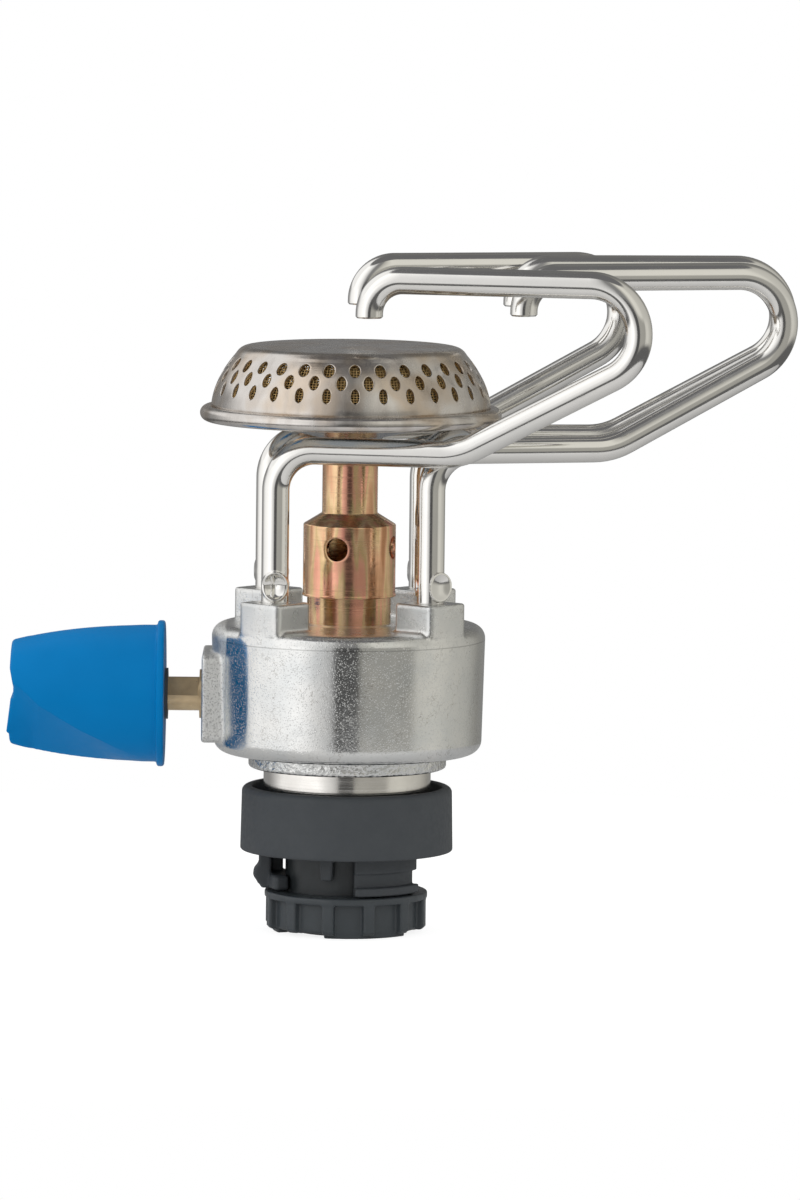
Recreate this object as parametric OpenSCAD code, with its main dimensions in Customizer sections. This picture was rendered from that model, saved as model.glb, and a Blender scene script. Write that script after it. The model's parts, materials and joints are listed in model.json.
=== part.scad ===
// Camping gas stove: a cast valve body on a twist-lock connector, with a mixer tube,
// a perforated burner, a side knob and four folding pot arms.
// Millimetres, +Z up. The origin is on the burner axis, at the foot of the connector.
// The knob points to -X, and the folded arms point to +X.

/* [Connector] */
// Radius of the ribbed wheel over its ribs
wheel_r = 15; // [14.4:0.1:16]
// Height of the ribbed wheel
wheel_h = 7.5; // [6:0.1:9]
// Number of ribs on the wheel
wheel_ribs = 12; // [8:1:16]
// Width of one rib
rib_w = 2.2; // [1.4:0.1:3]
// Depth of the recesses between the ribs
rib_depth = 1; // [0.5:0.1:1.4]
// Height of the plain rim above the ribs
wheel_rim_h = 1.3; // [0.8:0.1:2]
// Height of the wheel's three feet
foot_h = 0.7; // [0.4:0.1:1]
// Arc that one foot covers, in degrees
foot_arc = 71; // [40:1:80]
// Radius of the gas socket in the connector's foot
socket_r = 6.5; // [5.8:0.1:7]
// Depth of the gas socket
socket_depth = 9; // [8.5:0.1:10]
// Wall of the core round the gas socket
socket_wall = 3; // [2.6:0.1:3.2]
// Radius of the core's drum behind the claws
drum_r = 11.2; // [10.8:0.1:11.4]
// Height of the claws between the wheel and the shroud
claw_h = 7.5; // [6.5:0.1:9]
// Radial thickness of a claw
claw_wall = 2.8; // [2.2:0.1:3]
// Arc that one claw covers, in degrees
claw_arc = 62; // [40:1:80]
// Outer radius of the shroud
shroud_r = 19.5; // [18.6:0.1:21]
// Height of the shroud
shroud_h = 11.8; // [10.5:0.1:13]
// Wall of the shroud
shroud_wall = 2; // [1.6:0.1:2.5]
// Depth from the shroud's top to the neck's seat in it
neck_sink = 4.8; // [3.5:0.1:5.2]
// Radius of the gas nipple
nipple_r = 1.7; // [1.4:0.1:2]

/* [Valve body] */
// Radius of the cast body
body_r = 25.2; // [25:0.1:26.5]
// Height of the cast body
body_h = 23.7; // [22.5:0.1:25]
// Fillet round the body's top edge
body_top_fillet = 2.5; // [1:0.1:3]
// Fillet round the body's lower edge
body_foot_fillet = 2.4; // [0.6:0.1:3]
// Radius of the rough flange under the body
flange_r = 18.2; // [17:0.1:20]
// Thickness of the rough flange
flange_h = 2.8; // [2:0.1:4]
// Radius of the machined neck
neck_r = 15.4; // [14.5:0.1:16]
// Length of neck that shows above the shroud
neck_show = 3.5; // [2:0.1:6]
// Side of one square arm boss
boss_w = 9.7; // [9:0.1:10.2]
// Height of an arm boss above the body
boss_h = 5.2; // [4.5:0.1:8]
// Corner radius of an arm boss
boss_corner = 1.4; // [0.8:0.1:2]
// Distance from an arm boss to the body's edge
boss_edge = 0.25; // [0.1:0.05:0.8]
// Turn of the four bosses about the burner axis, in degrees
boss_twist = 3; // [0:0.5:4]
// Width of the flat valve pad
pad_w = 20; // [18:0.5:26]
// Height of the flat valve pad
pad_h = 16.2; // [15:0.1:18]
// Corner radius of the valve pad
pad_corner = 3; // [1:0.1:4]
// How far the pad's face stands out past the body
pad_proud = 1.6; // [0.8:0.1:3]
// Height of the knob axis above the body's underside
valve_rise = 10.4; // [10:0.1:11.5]

/* [Valve and knob] */
// Diameter of the spindle
spindle_d = 6.2; // [5:0.1:6.4]
// Depth of the flat on the spindle
spindle_flat = 0.7; // [0.4:0.05:1]
// Length of bare spindle between the gland and the knob
spindle_show = 5.8; // [4:0.1:8]
// Diameter of the gland's collar
gland_d = 9; // [8.6:0.1:11]
// Thickness of the gland's collar
gland_collar = 0.5; // [0.3:0.1:1]
// Diameter of the washer behind the knob
bush_d = 9.4; // [8:0.1:12]
// Thickness of the washer behind the knob
bush_h = 0.6; // [0.4:0.1:1]
// Length of the knob
knob_len = 29; // [26:0.1:32]
// Radius of the knob's barrel
knob_r = 12.6; // [11.5:0.1:14]
// Radius of the knob at its outer end
knob_end_r = 9.6; // [8.6:0.1:10.5]
// How far the knob's lip stands out past the barrel
lip_proud = 0.85; // [0.4:0.05:1.2]
// Width of the knob's lip
lip_w = 1.5; // [1:0.1:2.5]
// Radius of the knob's two finger scoops
scoop_r = 30; // [20:1:40]
// Depth of a finger scoop at the knob's end
scoop_depth = 3.6; // [2:0.1:4]
// Length of a finger scoop
scoop_len = 24; // [18:0.5:26]
// Depth of the notch across the knob's end
notch_depth = 1.1; // [0.5:0.1:1.5]

/* [Mixer tube] */
// Height of the hub that carries the mixer tube
hub_h = 0.2; // [0.2:0.1:3]
// Outer radius of the mixer tube's collar
collar_r = 7.7; // [7.2:0.1:8.2]
// Height of the mixer tube's collar
collar_h = 5; // [4.5:0.1:7]
// Outer radius of the air sleeve
sleeve_r = 8.5; // [8.3:0.1:9.5]
// Height of the air sleeve
sleeve_h = 13.2; // [12:0.1:16]
// Height of the cone above the sleeve
cone_h = 2.1; // [1.5:0.1:3]
// Outer radius of the riser that carries the burner
riser_r = 5.1; // [4.6:0.1:5.5]
// Wall of the mixer tube
tube_wall = 0.9; // [0.7:0.1:1.1]
// Diameter of one air hole
air_hole_d = 4.15; // [3:0.05:5]
// Height of the air holes above the collar
air_hole_rise = 9.1; // [8:0.1:9.6]

/* [Burner] */
// Radius of the burner's flat top
cap_top_r = 19.6; // [18.5:0.1:20.5]
// Radius of the burner's wall above its rim
cap_wall_r = 25.6; // [25:0.1:26.5]
// Height of the burner from rim centre to flat top
cap_h = 12.4; // [11.5:0.1:14]
// Radius of the rolled bead round the rim
bead_r = 1.4; // [1.2:0.05:1.8]
// Sheet thickness of the cap and the bowl
sheet = 0.8; // [0.6:0.05:1]
// Rounding of the cap's top edge
cap_round = 2; // [1:0.1:3]
// Number of flame holes in one row
hole_count = 30; // [20:1:34]
// Wire cloth thickness inside the cap
mesh_t = 0.4; // [0.3:0.05:0.6]

/* [Pot arms] */
// Diameter of the arm's rod
rod_d = 5; // [4.4:0.1:5.4]
// Height from the boss to the arm's lower run
leg_rise = 27.95; // [26:0.05:31]
// Length of leg inside the boss
leg_sink = 18; // [14:0.5:20]
// Reach of an arm from its leg to the outside of its loop
arm_reach = 69.5; // [64:0.5:76]
// Distance from the leg to the hook
hook_reach = 17.1; // [15:0.1:20]
// Slope of the arm's slanted run, in degrees
slant = 27.7; // [25:0.1:30]
// Bend radius at the top of the leg
bend_r = 7.4; // [6:0.1:9]
// Bend radius between the lower run and the slanted run
knee_r = 13; // [8:0.5:16]
// Bend radius of the outer loop
loop_r = 8.8; // [8:0.1:10]
// Bend radius of the hook
hook_r = 6.2; // [5:0.1:7]
// Straight length below the hook's bend
hook_tip = 0.8; // [0.4:0.1:2]
// Height from the burner's top to the hooks
flame_gap = 6.5; // [5:0.1:9]
// Gap between the arm's lower run and the burner's underside
burner_gap = 1.65; // [1.4:0.05:4]
// Gap between the folded front left arm and its neighbour's leg
fold_gap_front = 2.6; // [0.6:0.1:4]
// Gap between the folded rear left arm and its neighbour's leg
fold_gap_rear = 0.7; // [0.5:0.1:2]
// Angle of the folded front right arm from +X, in degrees
fold_front_right = 15.5; // [8:0.5:20]
// Angle of the folded rear right arm from +X, in degrees
fold_rear_right = 7.5; // [0:0.5:11]
// Radius of the two pressed ears at the foot of a leg
ear_r = 2.8; // [2.6:0.1:3.6]
// Thickness of the pressed ears
ear_t = 1.8; // [1.2:0.1:2.4]

/* [Hidden] */
$fn = 96;

// Clearances
running_gap = 0.05;
turn_gap = 0.1;
part_gap = 0.3;
cut = 1;

// Heights, from the foot up
claw_z = wheel_h + part_gap;
shroud_z = wheel_h + claw_h;
shroud_top = shroud_z + shroud_h;
neck_z = shroud_top - neck_sink;
web_h = 2.4;
core_top_z = neck_z - web_h;
flange_z = shroud_top + neck_show;
body_z = flange_z + flange_h;
body_top = body_z + body_h;
valve_z = body_z + valve_rise;
hub_top = body_top + hub_h;
boss_top = body_top + boss_h;
collar_top = hub_top + collar_h;
sleeve_top = collar_top + sleeve_h;
cone_top = sleeve_top + cone_h;
run_z = boss_top + leg_rise;
bowl_low_z = run_z + rod_d / 2 + part_gap;
rim_z = run_z + rod_d / 2 + burner_gap + bead_r;
cap_top = rim_z + cap_h;
hook_z = cap_top + flame_gap;
top_run_z = hook_z + hook_tip + hook_r;

// Connector
spigot_r = socket_r + socket_wall;
seal_r = socket_r - 0.8;
seal_h = 1.5;
probe_r = 2.9;
probe_collar_r = 4.4;
probe_collar_h = 1.4;
probe_bore_r = 0.7;
stem_r = 8.7;
stem_h = 4.6;
socket_roof = socket_depth;
collar_roof = socket_roof + seal_h + 2.5;
probe_top = core_top_z + stem_h;
filter_h = 2;
filter_r = 2.1;
clip_groove = 0.6;
clip_w = 2;
clip_h = 0.7;
clip_z = foot_h + 1;
wheel_well_r = spigot_r - clip_groove + clip_w + 0.5;
claw_r = drum_r + 0.4;
claw_places = [-52, 68];
hook_place = 180;
post_arc = 26;
finger_h = 5;
lug_r = 2.2;
tab_place = -106;
tab_w = 2.2;
tab_h = 4.5;
tab_t = 1.4;
rib_phase = -102.6;
rib_bevel = 0.5;
foot_phase = -71.5;
shroud_round = 1.2;

// Valve body
boss_ring_r = body_r - boss_edge - boss_w / 2;
boss_places = [225, 315, 135, 45];
pad_face = body_r + pad_proud;
jet_thread_r = 3;
jet_thread_h = 6;
jet_boss_r = collar_r - tube_wall - 1.2;
jet_boss_h = collar_h - 0.7;
inlet_r = 1.5;
inlet_x = 3;
outlet_r = 1;
outlet_x = -3.2;
chamber_r = spindle_d / 2 - 0.7;
gland_shank_r = gland_d / 2 - 0.5;
gland_shank = 6.3;
gland_depth = 8.8;
o_ring_h = 2.2;
thread_len = 6;
seat_out = 1.5;

// Knob, measured outwards from the burner axis
knob_back = pad_face + gland_collar + spindle_show + bush_h;
knob_end = knob_back + knob_len;
knob_bore = 18;
knob_edge = 1;
knob_steps = 16;
flat_turn = -51;
scoop_end_turn = -20;
scoop_root_turn = -55;

// Mixer tube and burner
air_hole_turn = -106;
bowl_seat_z = bowl_low_z + 2.2;
bowl_hole_r = riser_r + running_gap;
bowl_collar_h = 4;
fold_r = cap_wall_r + 1;
hole_turn = -88;
hole_rows = [[0.775, 0, 1.9, 2.3], [0.56, 0.5, 1.7, 2.7], [0.335, 0, 1.5, 2.9]];
wall_bow = 0.72;
wall_steps = 4;
wall_low = bead_r + 0.7;

// Arms
leg_r = rod_d / 2;
leg_span = boss_ring_r * sqrt(2);
fold_front_left = boss_twist - asin((rod_d + fold_gap_front) / leg_span);
fold_rear_left = boss_twist + asin((rod_d + fold_gap_rear) / leg_span);
loop_s = arm_reach - leg_r - loop_r;
loop_z = top_run_z - loop_r;
slant_end = [loop_s + loop_r * sin(slant), loop_z - loop_r * cos(slant)];
knee_s = slant_end[0] - (slant_end[1] - run_z) / tan(slant);
knee_t = knee_r * tan(slant / 2);
ear_z = boss_top + ear_r + part_gap;
ear_turns = [0, -60, 0, 60];
dent_r = 5;
dent_depth = 0.4;
snap_z = boss_top - leg_sink + 4;
snap_h = 1;
snap_w = 0.9;
snap_groove = 0.5;
weld_step = 0.01;
weld_len = 0.3;

// A turned disc with rounded upper and lower edges
module turned_disc(r, h, top_fillet, foot_fillet) {
    rotate_extrude() {
        translate([0, foot_fillet]) square([r, h - top_fillet - foot_fillet]);
        square([r - foot_fillet, h - top_fillet]);
        translate([0, foot_fillet]) square([r - top_fillet, h - foot_fillet]);
        translate([r - top_fillet, h - top_fillet]) circle(top_fillet);
        translate([r - foot_fillet, foot_fillet]) circle(foot_fillet);
    }
}

// A flat ring from its lower face up
module ring(outer, inner, h) {
    difference() {
        cylinder(r = outer, h = h);
        translate([0, 0, -cut]) cylinder(r = inner, h = h + 2 * cut);
    }
}

// A plate with rounded corners, centred on the origin
module rounded_plate(w, d, h, corner) {
    linear_extrude(h) {
        square([w - 2 * corner, d], center = true);
        square([w, d - 2 * corner], center = true);
        for (x = [-1, 1], y = [-1, 1])
            translate([x * (w / 2 - corner), y * (d / 2 - corner)]) circle(corner);
    }
}

// Puts a piece on the knob axis: its +Z becomes the way out, and its +X becomes up
module on_valve_axis(out = 0) {
    translate([-out, 0, valve_z]) rotate([0, -90, 0]) children();
}

// Puts a piece at each arm boss
module at_bosses(z) {
    for (a = boss_places)
        rotate(a + boss_twist) translate([boss_ring_r, 0, z]) children();
}

// Valve body
module valve_body_mass() {
    translate([0, 0, body_z]) turned_disc(body_r, body_h, body_top_fillet, body_foot_fillet);
    translate([0, 0, flange_z]) cylinder(r = flange_r, h = flange_h + cut);
    translate([0, 0, neck_z]) cylinder(r = neck_r, h = flange_z - neck_z + cut);
    translate([0, 0, body_top - cut]) cylinder(r = collar_r + 1.2, h = hub_h + cut);
    translate([0, 0, hub_top - cut]) cylinder(r = jet_boss_r, h = jet_boss_h + cut);
    at_bosses(body_top - body_top_fillet) rounded_plate(boss_w, boss_w, boss_h + body_top_fillet, boss_corner);
    on_valve_axis(body_r - 10) rounded_plate(pad_h, pad_w, pad_proud + 10, pad_corner);
}

module valve_body() {
    leg_hole = boss_top - leg_sink - cut;
    color("lightgray") difference() {
        valve_body_mass();
        at_bosses(leg_hole) cylinder(r = leg_r + running_gap, h = leg_sink + 2 * cut);
        at_bosses(snap_z - turn_gap)
            cylinder(r = leg_r - snap_groove + snap_w + 2 * turn_gap, h = snap_h + 2 * turn_gap);
        // Gas way: neck socket, inlet, valve seat, outlet and jet thread
        translate([0, 0, neck_z - cut]) cylinder(r = stem_r + running_gap, h = stem_h + turn_gap + cut);
        translate([inlet_x, 0, neck_z]) cylinder(r = inlet_r, h = valve_z - neck_z);
        on_valve_axis(-inlet_x - inlet_r) cylinder(r = outlet_r, h = inlet_x + inlet_r + seat_out + cut);
        translate([outlet_x, 0, valve_z]) cylinder(r = outlet_r, h = hub_top - valve_z);
        translate([0, 0, hub_top + jet_boss_h - jet_thread_h])
            cylinder(r = jet_thread_r + running_gap, h = jet_thread_h + cut);
        // Spindle bore: chamber, thread and gland
        on_valve_axis(seat_out) cylinder(r = chamber_r + 2 * part_gap, h = pad_face - seat_out);
        on_valve_axis(pad_face - gland_depth - thread_len)
            cylinder(r = spindle_d / 2 + running_gap, h = thread_len + cut);
        on_valve_axis(pad_face - gland_depth) cylinder(r = gland_shank_r + running_gap, h = gland_depth + cut);
    }
}

// Mixer tube
module mixer_tube() {
    bore = riser_r - tube_wall;
    sleeve_bore = sleeve_r - tube_wall;
    color("goldenrod") difference() {
        rotate_extrude() polygon([
            [jet_boss_r + running_gap, hub_top], [collar_r, hub_top], [collar_r, collar_top],
            [sleeve_r, collar_top], [sleeve_r, sleeve_top], [riser_r, cone_top],
            [riser_r, bowl_seat_z], [bore, bowl_seat_z], [bore, cone_top - tube_wall],
            [sleeve_bore, sleeve_top - tube_wall], [sleeve_bore, collar_top + tube_wall],
            [jet_boss_r + running_gap, collar_top]
        ]);
        for (i = [0:3])
            rotate(air_hole_turn + 90 * i) translate([0, 0, collar_top + air_hole_rise]) rotate([0, 90, 0])
                cylinder(d = air_hole_d, h = sleeve_r + cut);
    }
}

// Gas jet, with its hexagon and its nozzle
module gas_jet() {
    seat = hub_top + jet_boss_h;
    hex_h = 2.6;
    tip_h = 2.4;
    color("darkkhaki") difference() {
        union() {
            translate([0, 0, seat - jet_thread_h + filter_h]) cylinder(r = jet_thread_r, h = jet_thread_h - filter_h);
            translate([0, 0, seat]) cylinder(r = jet_thread_r + 1, h = hex_h, $fn = 6);
            translate([0, 0, seat + hex_h]) cylinder(r1 = jet_thread_r - 0.4, r2 = 1.2, h = tip_h);
        }
        translate([0, 0, seat - jet_thread_h]) cylinder(r = 1.4, h = jet_thread_h + hex_h);
        translate([0, 0, seat]) cylinder(r = 0.25, h = hex_h + tip_h + cut);
    }
}

module jet_filter() {
    color("peru") translate([0, 0, hub_top + jet_boss_h - jet_thread_h]) cylinder(r = jet_thread_r, h = filter_h);
}

// Burner: a curved wall from the bead up to the rounded edge of the flat top
cap_edge_r = cap_top_r + cap_round * 0.6;
function wall_point(t, inset) = [
    cap_wall_r + (cap_edge_r - cap_wall_r) * (wall_bow * t * t + (1 - wall_bow) * t) - inset,
    rim_z + wall_low + (cap_h - wall_low - cap_round * 0.5) * t
];
function wall_curve(inset) = [for (i = [0:wall_steps]) wall_point(i / wall_steps, inset)];
function reversed(list) = [for (i = [len(list) - 1:-1:0]) list[i]];
function wall_lean(t) = atan2(
    wall_point(t - 0.1, 0)[0] - wall_point(t + 0.1, 0)[0],
    wall_point(t + 0.1, 0)[1] - wall_point(t - 0.1, 0)[1]
);

module cap_shell() {
    inner_top = cap_top - sheet;
    rotate_extrude() polygon(concat(
        [[fold_r - sheet, rim_z], [fold_r + 0.2, rim_z]], wall_curve(0), [[cap_top_r, cap_top], [0, cap_top]],
        [[0, inner_top], [cap_top_r - sheet / 2, inner_top]], reversed(wall_curve(sheet))
    ));
    translate([0, 0, rim_z]) rotate_extrude() translate([fold_r - 0.3, 0]) circle(bead_r);
}

// An upright oval hole along +X
module flame_hole(w, h) {
    rotate([90, 0, 90]) linear_extrude(cap_wall_r / 2) {
        square([w, h - w], center = true);
        for (y = [-1, 1]) translate([0, y * (h - w) / 2]) circle(d = w);
    }
}

module burner_cap() {
    slot = sheet + 2 * running_gap;
    color("silver") difference() {
        cap_shell();
        translate([0, 0, rim_z - slot / 2]) cylinder(r = fold_r + running_gap, h = slot);
        for (row = hole_rows, i = [0:hole_count - 1])
            rotate(hole_turn + (i + row[1]) * 360 / hole_count)
                translate([wall_point(row[0], 0)[0], 0, wall_point(row[0], 0)[1]])
                    rotate([0, -wall_lean(row[0]), 0]) translate([-cap_wall_r / 4, 0, 0])
                        flame_hole(row[2], row[3]);
    }
}

module burner_bowl() {
    low = bowl_seat_z - bowl_collar_h;
    color("darkgray") rotate_extrude() polygon([
        [bowl_hole_r, low], [bowl_hole_r + sheet, low], [bowl_hole_r + sheet, bowl_low_z - 1.5],
        [riser_r + 7.5, bowl_low_z], [fold_r - 3, rim_z - sheet / 2], [fold_r, rim_z - sheet / 2],
        [fold_r, rim_z + sheet / 2], [fold_r - 3, rim_z + sheet / 2],
        [riser_r + 7.5, bowl_low_z + sheet], [bowl_hole_r, bowl_low_z - 1.5 + sheet]
    ]);
}

module burner_mesh() {
    gap = sheet + running_gap;
    top = cap_top - sheet - running_gap;
    low = rim_z + sheet / 2;
    color("tan") rotate_extrude() polygon(concat(
        [[cap_wall_r - gap - mesh_t, low], [cap_wall_r - gap, low]], wall_curve(gap),
        [[cap_top_r - gap, top], [0, top], [0, top - mesh_t], [cap_top_r - gap - mesh_t, top - mesh_t]],
        reversed(wall_curve(gap + mesh_t))
    ));
}

// Gland and spindle
module gland_nut() {
    color("khaki") on_valve_axis(pad_face) difference() {
        union() {
            cylinder(d = gland_d, h = gland_collar);
            translate([0, 0, -gland_shank]) cylinder(r = gland_shank_r, h = gland_shank);
        }
        translate([0, 0, -gland_shank - cut])
            cylinder(r = spindle_d / 2 + running_gap, h = gland_shank + gland_collar + 2 * cut);
    }
}

module gland_o_ring() {
    color("dimgray") on_valve_axis(pad_face - gland_depth)
        ring(gland_shank_r, spindle_d / 2 + running_gap, o_ring_h);
}

// A round shaft with one flat, from its inner end outwards
module flatted_shaft(r, h, flat) {
    difference() {
        cylinder(r = r, h = h);
        rotate(flat_turn - 90) translate([-r, r - flat, -cut]) cube([2 * r, r, h + 2 * cut]);
    }
}

module valve_spindle() {
    thread_in = pad_face - gland_depth - thread_len;
    needle = seat_out + 2;
    color("darkgoldenrod") {
        on_valve_axis(seat_out + part_gap) cylinder(r1 = outlet_r - part_gap, r2 = chamber_r, h = needle - seat_out);
        on_valve_axis(needle + part_gap) cylinder(r = chamber_r, h = thread_in - needle + cut);
        on_valve_axis(thread_in + part_gap) cylinder(d = spindle_d, h = pad_face + gland_collar - thread_in);
        on_valve_axis(pad_face + gland_collar + part_gap)
            flatted_shaft(spindle_d / 2, spindle_show + bush_h + knob_bore - 2 * part_gap, spindle_flat);
    }
}

module knob_bush() {
    color("black") on_valve_axis(knob_back - bush_h) difference() {
        cylinder(d = bush_d, h = bush_h);
        translate([0, 0, -cut]) flatted_shaft(spindle_d / 2 + running_gap, bush_h + 2 * cut, spindle_flat);
    }
}

// The knob's barrel follows an ellipse that reaches its end radius at the outer end
function barrel_r(t) = sqrt(1 - pow(t, 2) * (1 - pow(knob_end_r / knob_r, 2))) * knob_r;
barrel_curve = [
    for (i = [0:knob_steps])
        let (t = i / knob_steps) [barrel_r(t), lip_w + 1 + t * (knob_len - lip_w - 1 - knob_edge)]
];
edge_curve = [
    for (a = [15:15:90])
        [knob_end_r - knob_edge * (1 - cos(a)), knob_len - knob_edge * (1 - sin(a))]
];

// One finger scoop, a long cylinder that runs askew past the knob's end
module finger_scoop() {
    end_d = scoop_r + knob_end_r - scoop_depth;
    root_d = scoop_r + knob_r;
    from = [end_d * sin(scoop_end_turn), -end_d * cos(scoop_end_turn), knob_len];
    to = [root_d * sin(scoop_root_turn), -root_d * cos(scoop_root_turn), knob_len - scoop_len];
    way = to - from;
    translate(from) rotate([0, acos(way[2] / norm(way)), atan2(way[1], way[0])]) translate([0, 0, -2 * knob_len])
        cylinder(r = scoop_r, h = 5 * knob_len);
}

module control_knob() {
    wide = 2 * knob_r;
    color("royalblue") on_valve_axis(knob_back) difference() {
        rotate_extrude() polygon(concat(
            [[0, 0], [knob_r + lip_proud, 0], [knob_r + lip_proud, lip_w], [knob_r, lip_w + 0.6]],
            barrel_curve, edge_curve, [[0, knob_len]]
        ));
        for (a = [0, 180]) rotate(a) finger_scoop();
        // Notch across the end, with one steep side
        translate([0, wide, knob_len]) rotate([90, 0, 0]) linear_extrude(2 * wide) polygon([
            [knob_end_r / 2, cut], [knob_end_r / 2, -notch_depth / 2], [0, -notch_depth], [-0.5, -notch_depth / 2],
            [-0.7 * knob_end_r, 0], [-0.7 * knob_end_r, -notch_depth / 2], [-wide, -notch_depth / 2], [-wide, cut]
        ]);
        translate([0, 0, -cut]) flatted_shaft(spindle_d / 2 + running_gap, knob_bore + cut, spindle_flat);
    }
}

// Pot arms, drawn in the plane of the arm: x is the distance from the leg, y is the height
// A straight stretch is a hair slimmer than the bends and runs a little way into both of them
module rod(from, to) {
    way = to - from;
    translate(from) rotate(atan2(way[1], way[0])) rotate([0, 90, 0]) translate([0, 0, -weld_len])
        cylinder(d = rod_d - 2 * weld_step, h = norm(way) + 2 * weld_len);
}

module bend(centre, radius, from, to) {
    translate(centre) rotate(from) rotate_extrude(angle = to - from) translate([radius, 0]) circle(d = rod_d);
}

module arm_above_leg() {
    run_end = knee_s - knee_t;
    slant_start = [knee_s + knee_t * cos(slant), run_z + knee_t * sin(slant)];
    hook_turn = [hook_reach + hook_r, top_run_z - hook_r];
    bend([bend_r, run_z - bend_r], bend_r, 90, 180);
    rod([bend_r, run_z], [run_end, run_z]);
    bend([run_end, run_z + knee_r], knee_r, -90, slant - 90);
    rod(slant_start, slant_end);
    bend([loop_s, loop_z], loop_r, slant - 90, 90);
    rod([loop_s, top_run_z], [hook_turn[0], top_run_z]);
    bend(hook_turn, hook_r, 90, 180);
    rod([hook_reach, hook_turn[1]], [hook_reach, hook_z + weld_len]);
}

// The leg, with its snap ring groove and the dents that press out the two ears
module arm_leg(ear_turn) {
    foot = boss_top - leg_sink;
    difference() {
        translate([0, 0, foot + part_gap]) cylinder(d = rod_d, h = run_z - bend_r - foot - part_gap);
        translate([0, 0, snap_z]) ring(rod_d, leg_r - snap_groove, snap_h);
        rotate(ear_turn) for (x = [-1, 1])
            translate([x * (leg_r + dent_r - dent_depth), 0, ear_z]) sphere(dent_r);
    }
    rotate(ear_turn) translate([-ear_t / 2, 0, ear_z]) rotate([0, 90, 0]) cylinder(r = ear_r, h = ear_t);
}

module support_arm(place, fold) {
    color("gainsboro") rotate(boss_places[place] + boss_twist) translate([boss_ring_r, 0, 0])
        rotate(fold - boss_places[place] - boss_twist) {
            arm_leg(ear_turns[place]);
            rotate([90, 0, 0]) arm_above_leg();
        }
}

module front_left_arm() { support_arm(0, fold_front_left); }
module front_right_arm() { support_arm(1, fold_front_right); }
module rear_left_arm() { support_arm(2, fold_rear_left); }
module rear_right_arm() { support_arm(3, fold_rear_right); }

module leg_snap_rings() {
    inner = leg_r - snap_groove + running_gap;
    color("gray") at_bosses(snap_z) difference() {
        ring(inner + snap_w, inner, snap_h - turn_gap);
        translate([0, -0.6, -cut]) cube([rod_d, 1.2, snap_h + 2 * cut]);
    }
}

// Connector
module claw_profile() {
    outer = claw_r + claw_wall;
    top = shroud_z + cut;
    polygon([
        [claw_r, claw_z], [outer, claw_z], [outer, claw_z + 1.2], [outer - 1.2, claw_z + 1.8],
        [outer - 1.2, claw_z + 3.8], [outer - 0.4, claw_z + 4.4], [outer - 0.4, top], [claw_r, top]
    ]);
}

// The claw beside the lug: a post that carries a finger on both sides
module hook_claw() {
    finger_w = claw_wall - 0.4;
    post_w = finger_w - 2 * turn_gap;
    rotate(-claw_arc / 2) rotate_extrude(angle = claw_arc) translate([claw_r, claw_z]) square([finger_w, finger_h]);
    rotate(-post_arc / 2) rotate_extrude(angle = post_arc)
        translate([claw_r + turn_gap, claw_z + cut]) square([post_w, shroud_z - claw_z]);
}

module connector_shroud() {
    inner = shroud_r - shroud_wall;
    floor_h = 1.6;
    lug_place = claw_r + claw_wall;
    color("dimgray") {
        difference() {
            translate([0, 0, shroud_z]) turned_disc(shroud_r, shroud_h, shroud_round, 0.2);
            translate([0, 0, neck_z]) cylinder(r = inner, h = shroud_h);
            translate([0, 0, shroud_z + floor_h]) cylinder(r = inner, h = core_top_z - shroud_z - floor_h);
            translate([0, 0, shroud_z - cut]) cylinder(r = claw_r - turn_gap, h = floor_h + 2 * cut);
            translate([0, 0, core_top_z - cut]) cylinder(r = stem_r + running_gap, h = shroud_h);
        }
        for (a = claw_places) rotate(a - claw_arc / 2) rotate_extrude(angle = claw_arc) claw_profile();
        rotate(hook_place) hook_claw();
        rotate(hook_place) translate([lug_place, 0, claw_z + 0.8]) cylinder(r = lug_r, h = 3.6);
        rotate(tab_place) translate([claw_r + part_gap, -tab_w / 2, shroud_z - tab_h])
            cube([tab_t, tab_w, tab_h + floor_h / 2]);
    }
}

module coupling_core() {
    drum_z = wheel_h + turn_gap;
    color([0.16, 0.16, 0.17]) difference() {
        union() {
            cylinder(r = spigot_r, h = drum_z + cut);
            translate([0, 0, drum_z]) cylinder(r = drum_r, h = core_top_z - drum_z);
            translate([0, 0, core_top_z - cut]) cylinder(r = stem_r, h = stem_h + web_h + cut);
        }
        translate([0, 0, -cut]) cylinder(r = socket_r, h = socket_depth + cut);
        translate([0, 0, socket_roof - cut]) cylinder(r = seal_r, h = seal_h + cut);
        translate([0, 0, socket_roof]) cylinder(r = probe_collar_r + running_gap, h = collar_roof - socket_roof);
        translate([0, 0, socket_roof]) cylinder(r = probe_r + running_gap, h = core_top_z + web_h + stem_h);
        translate([0, 0, clip_z]) ring(spigot_r + cut, spigot_r - clip_groove, clip_h + turn_gap);
    }
}

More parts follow.
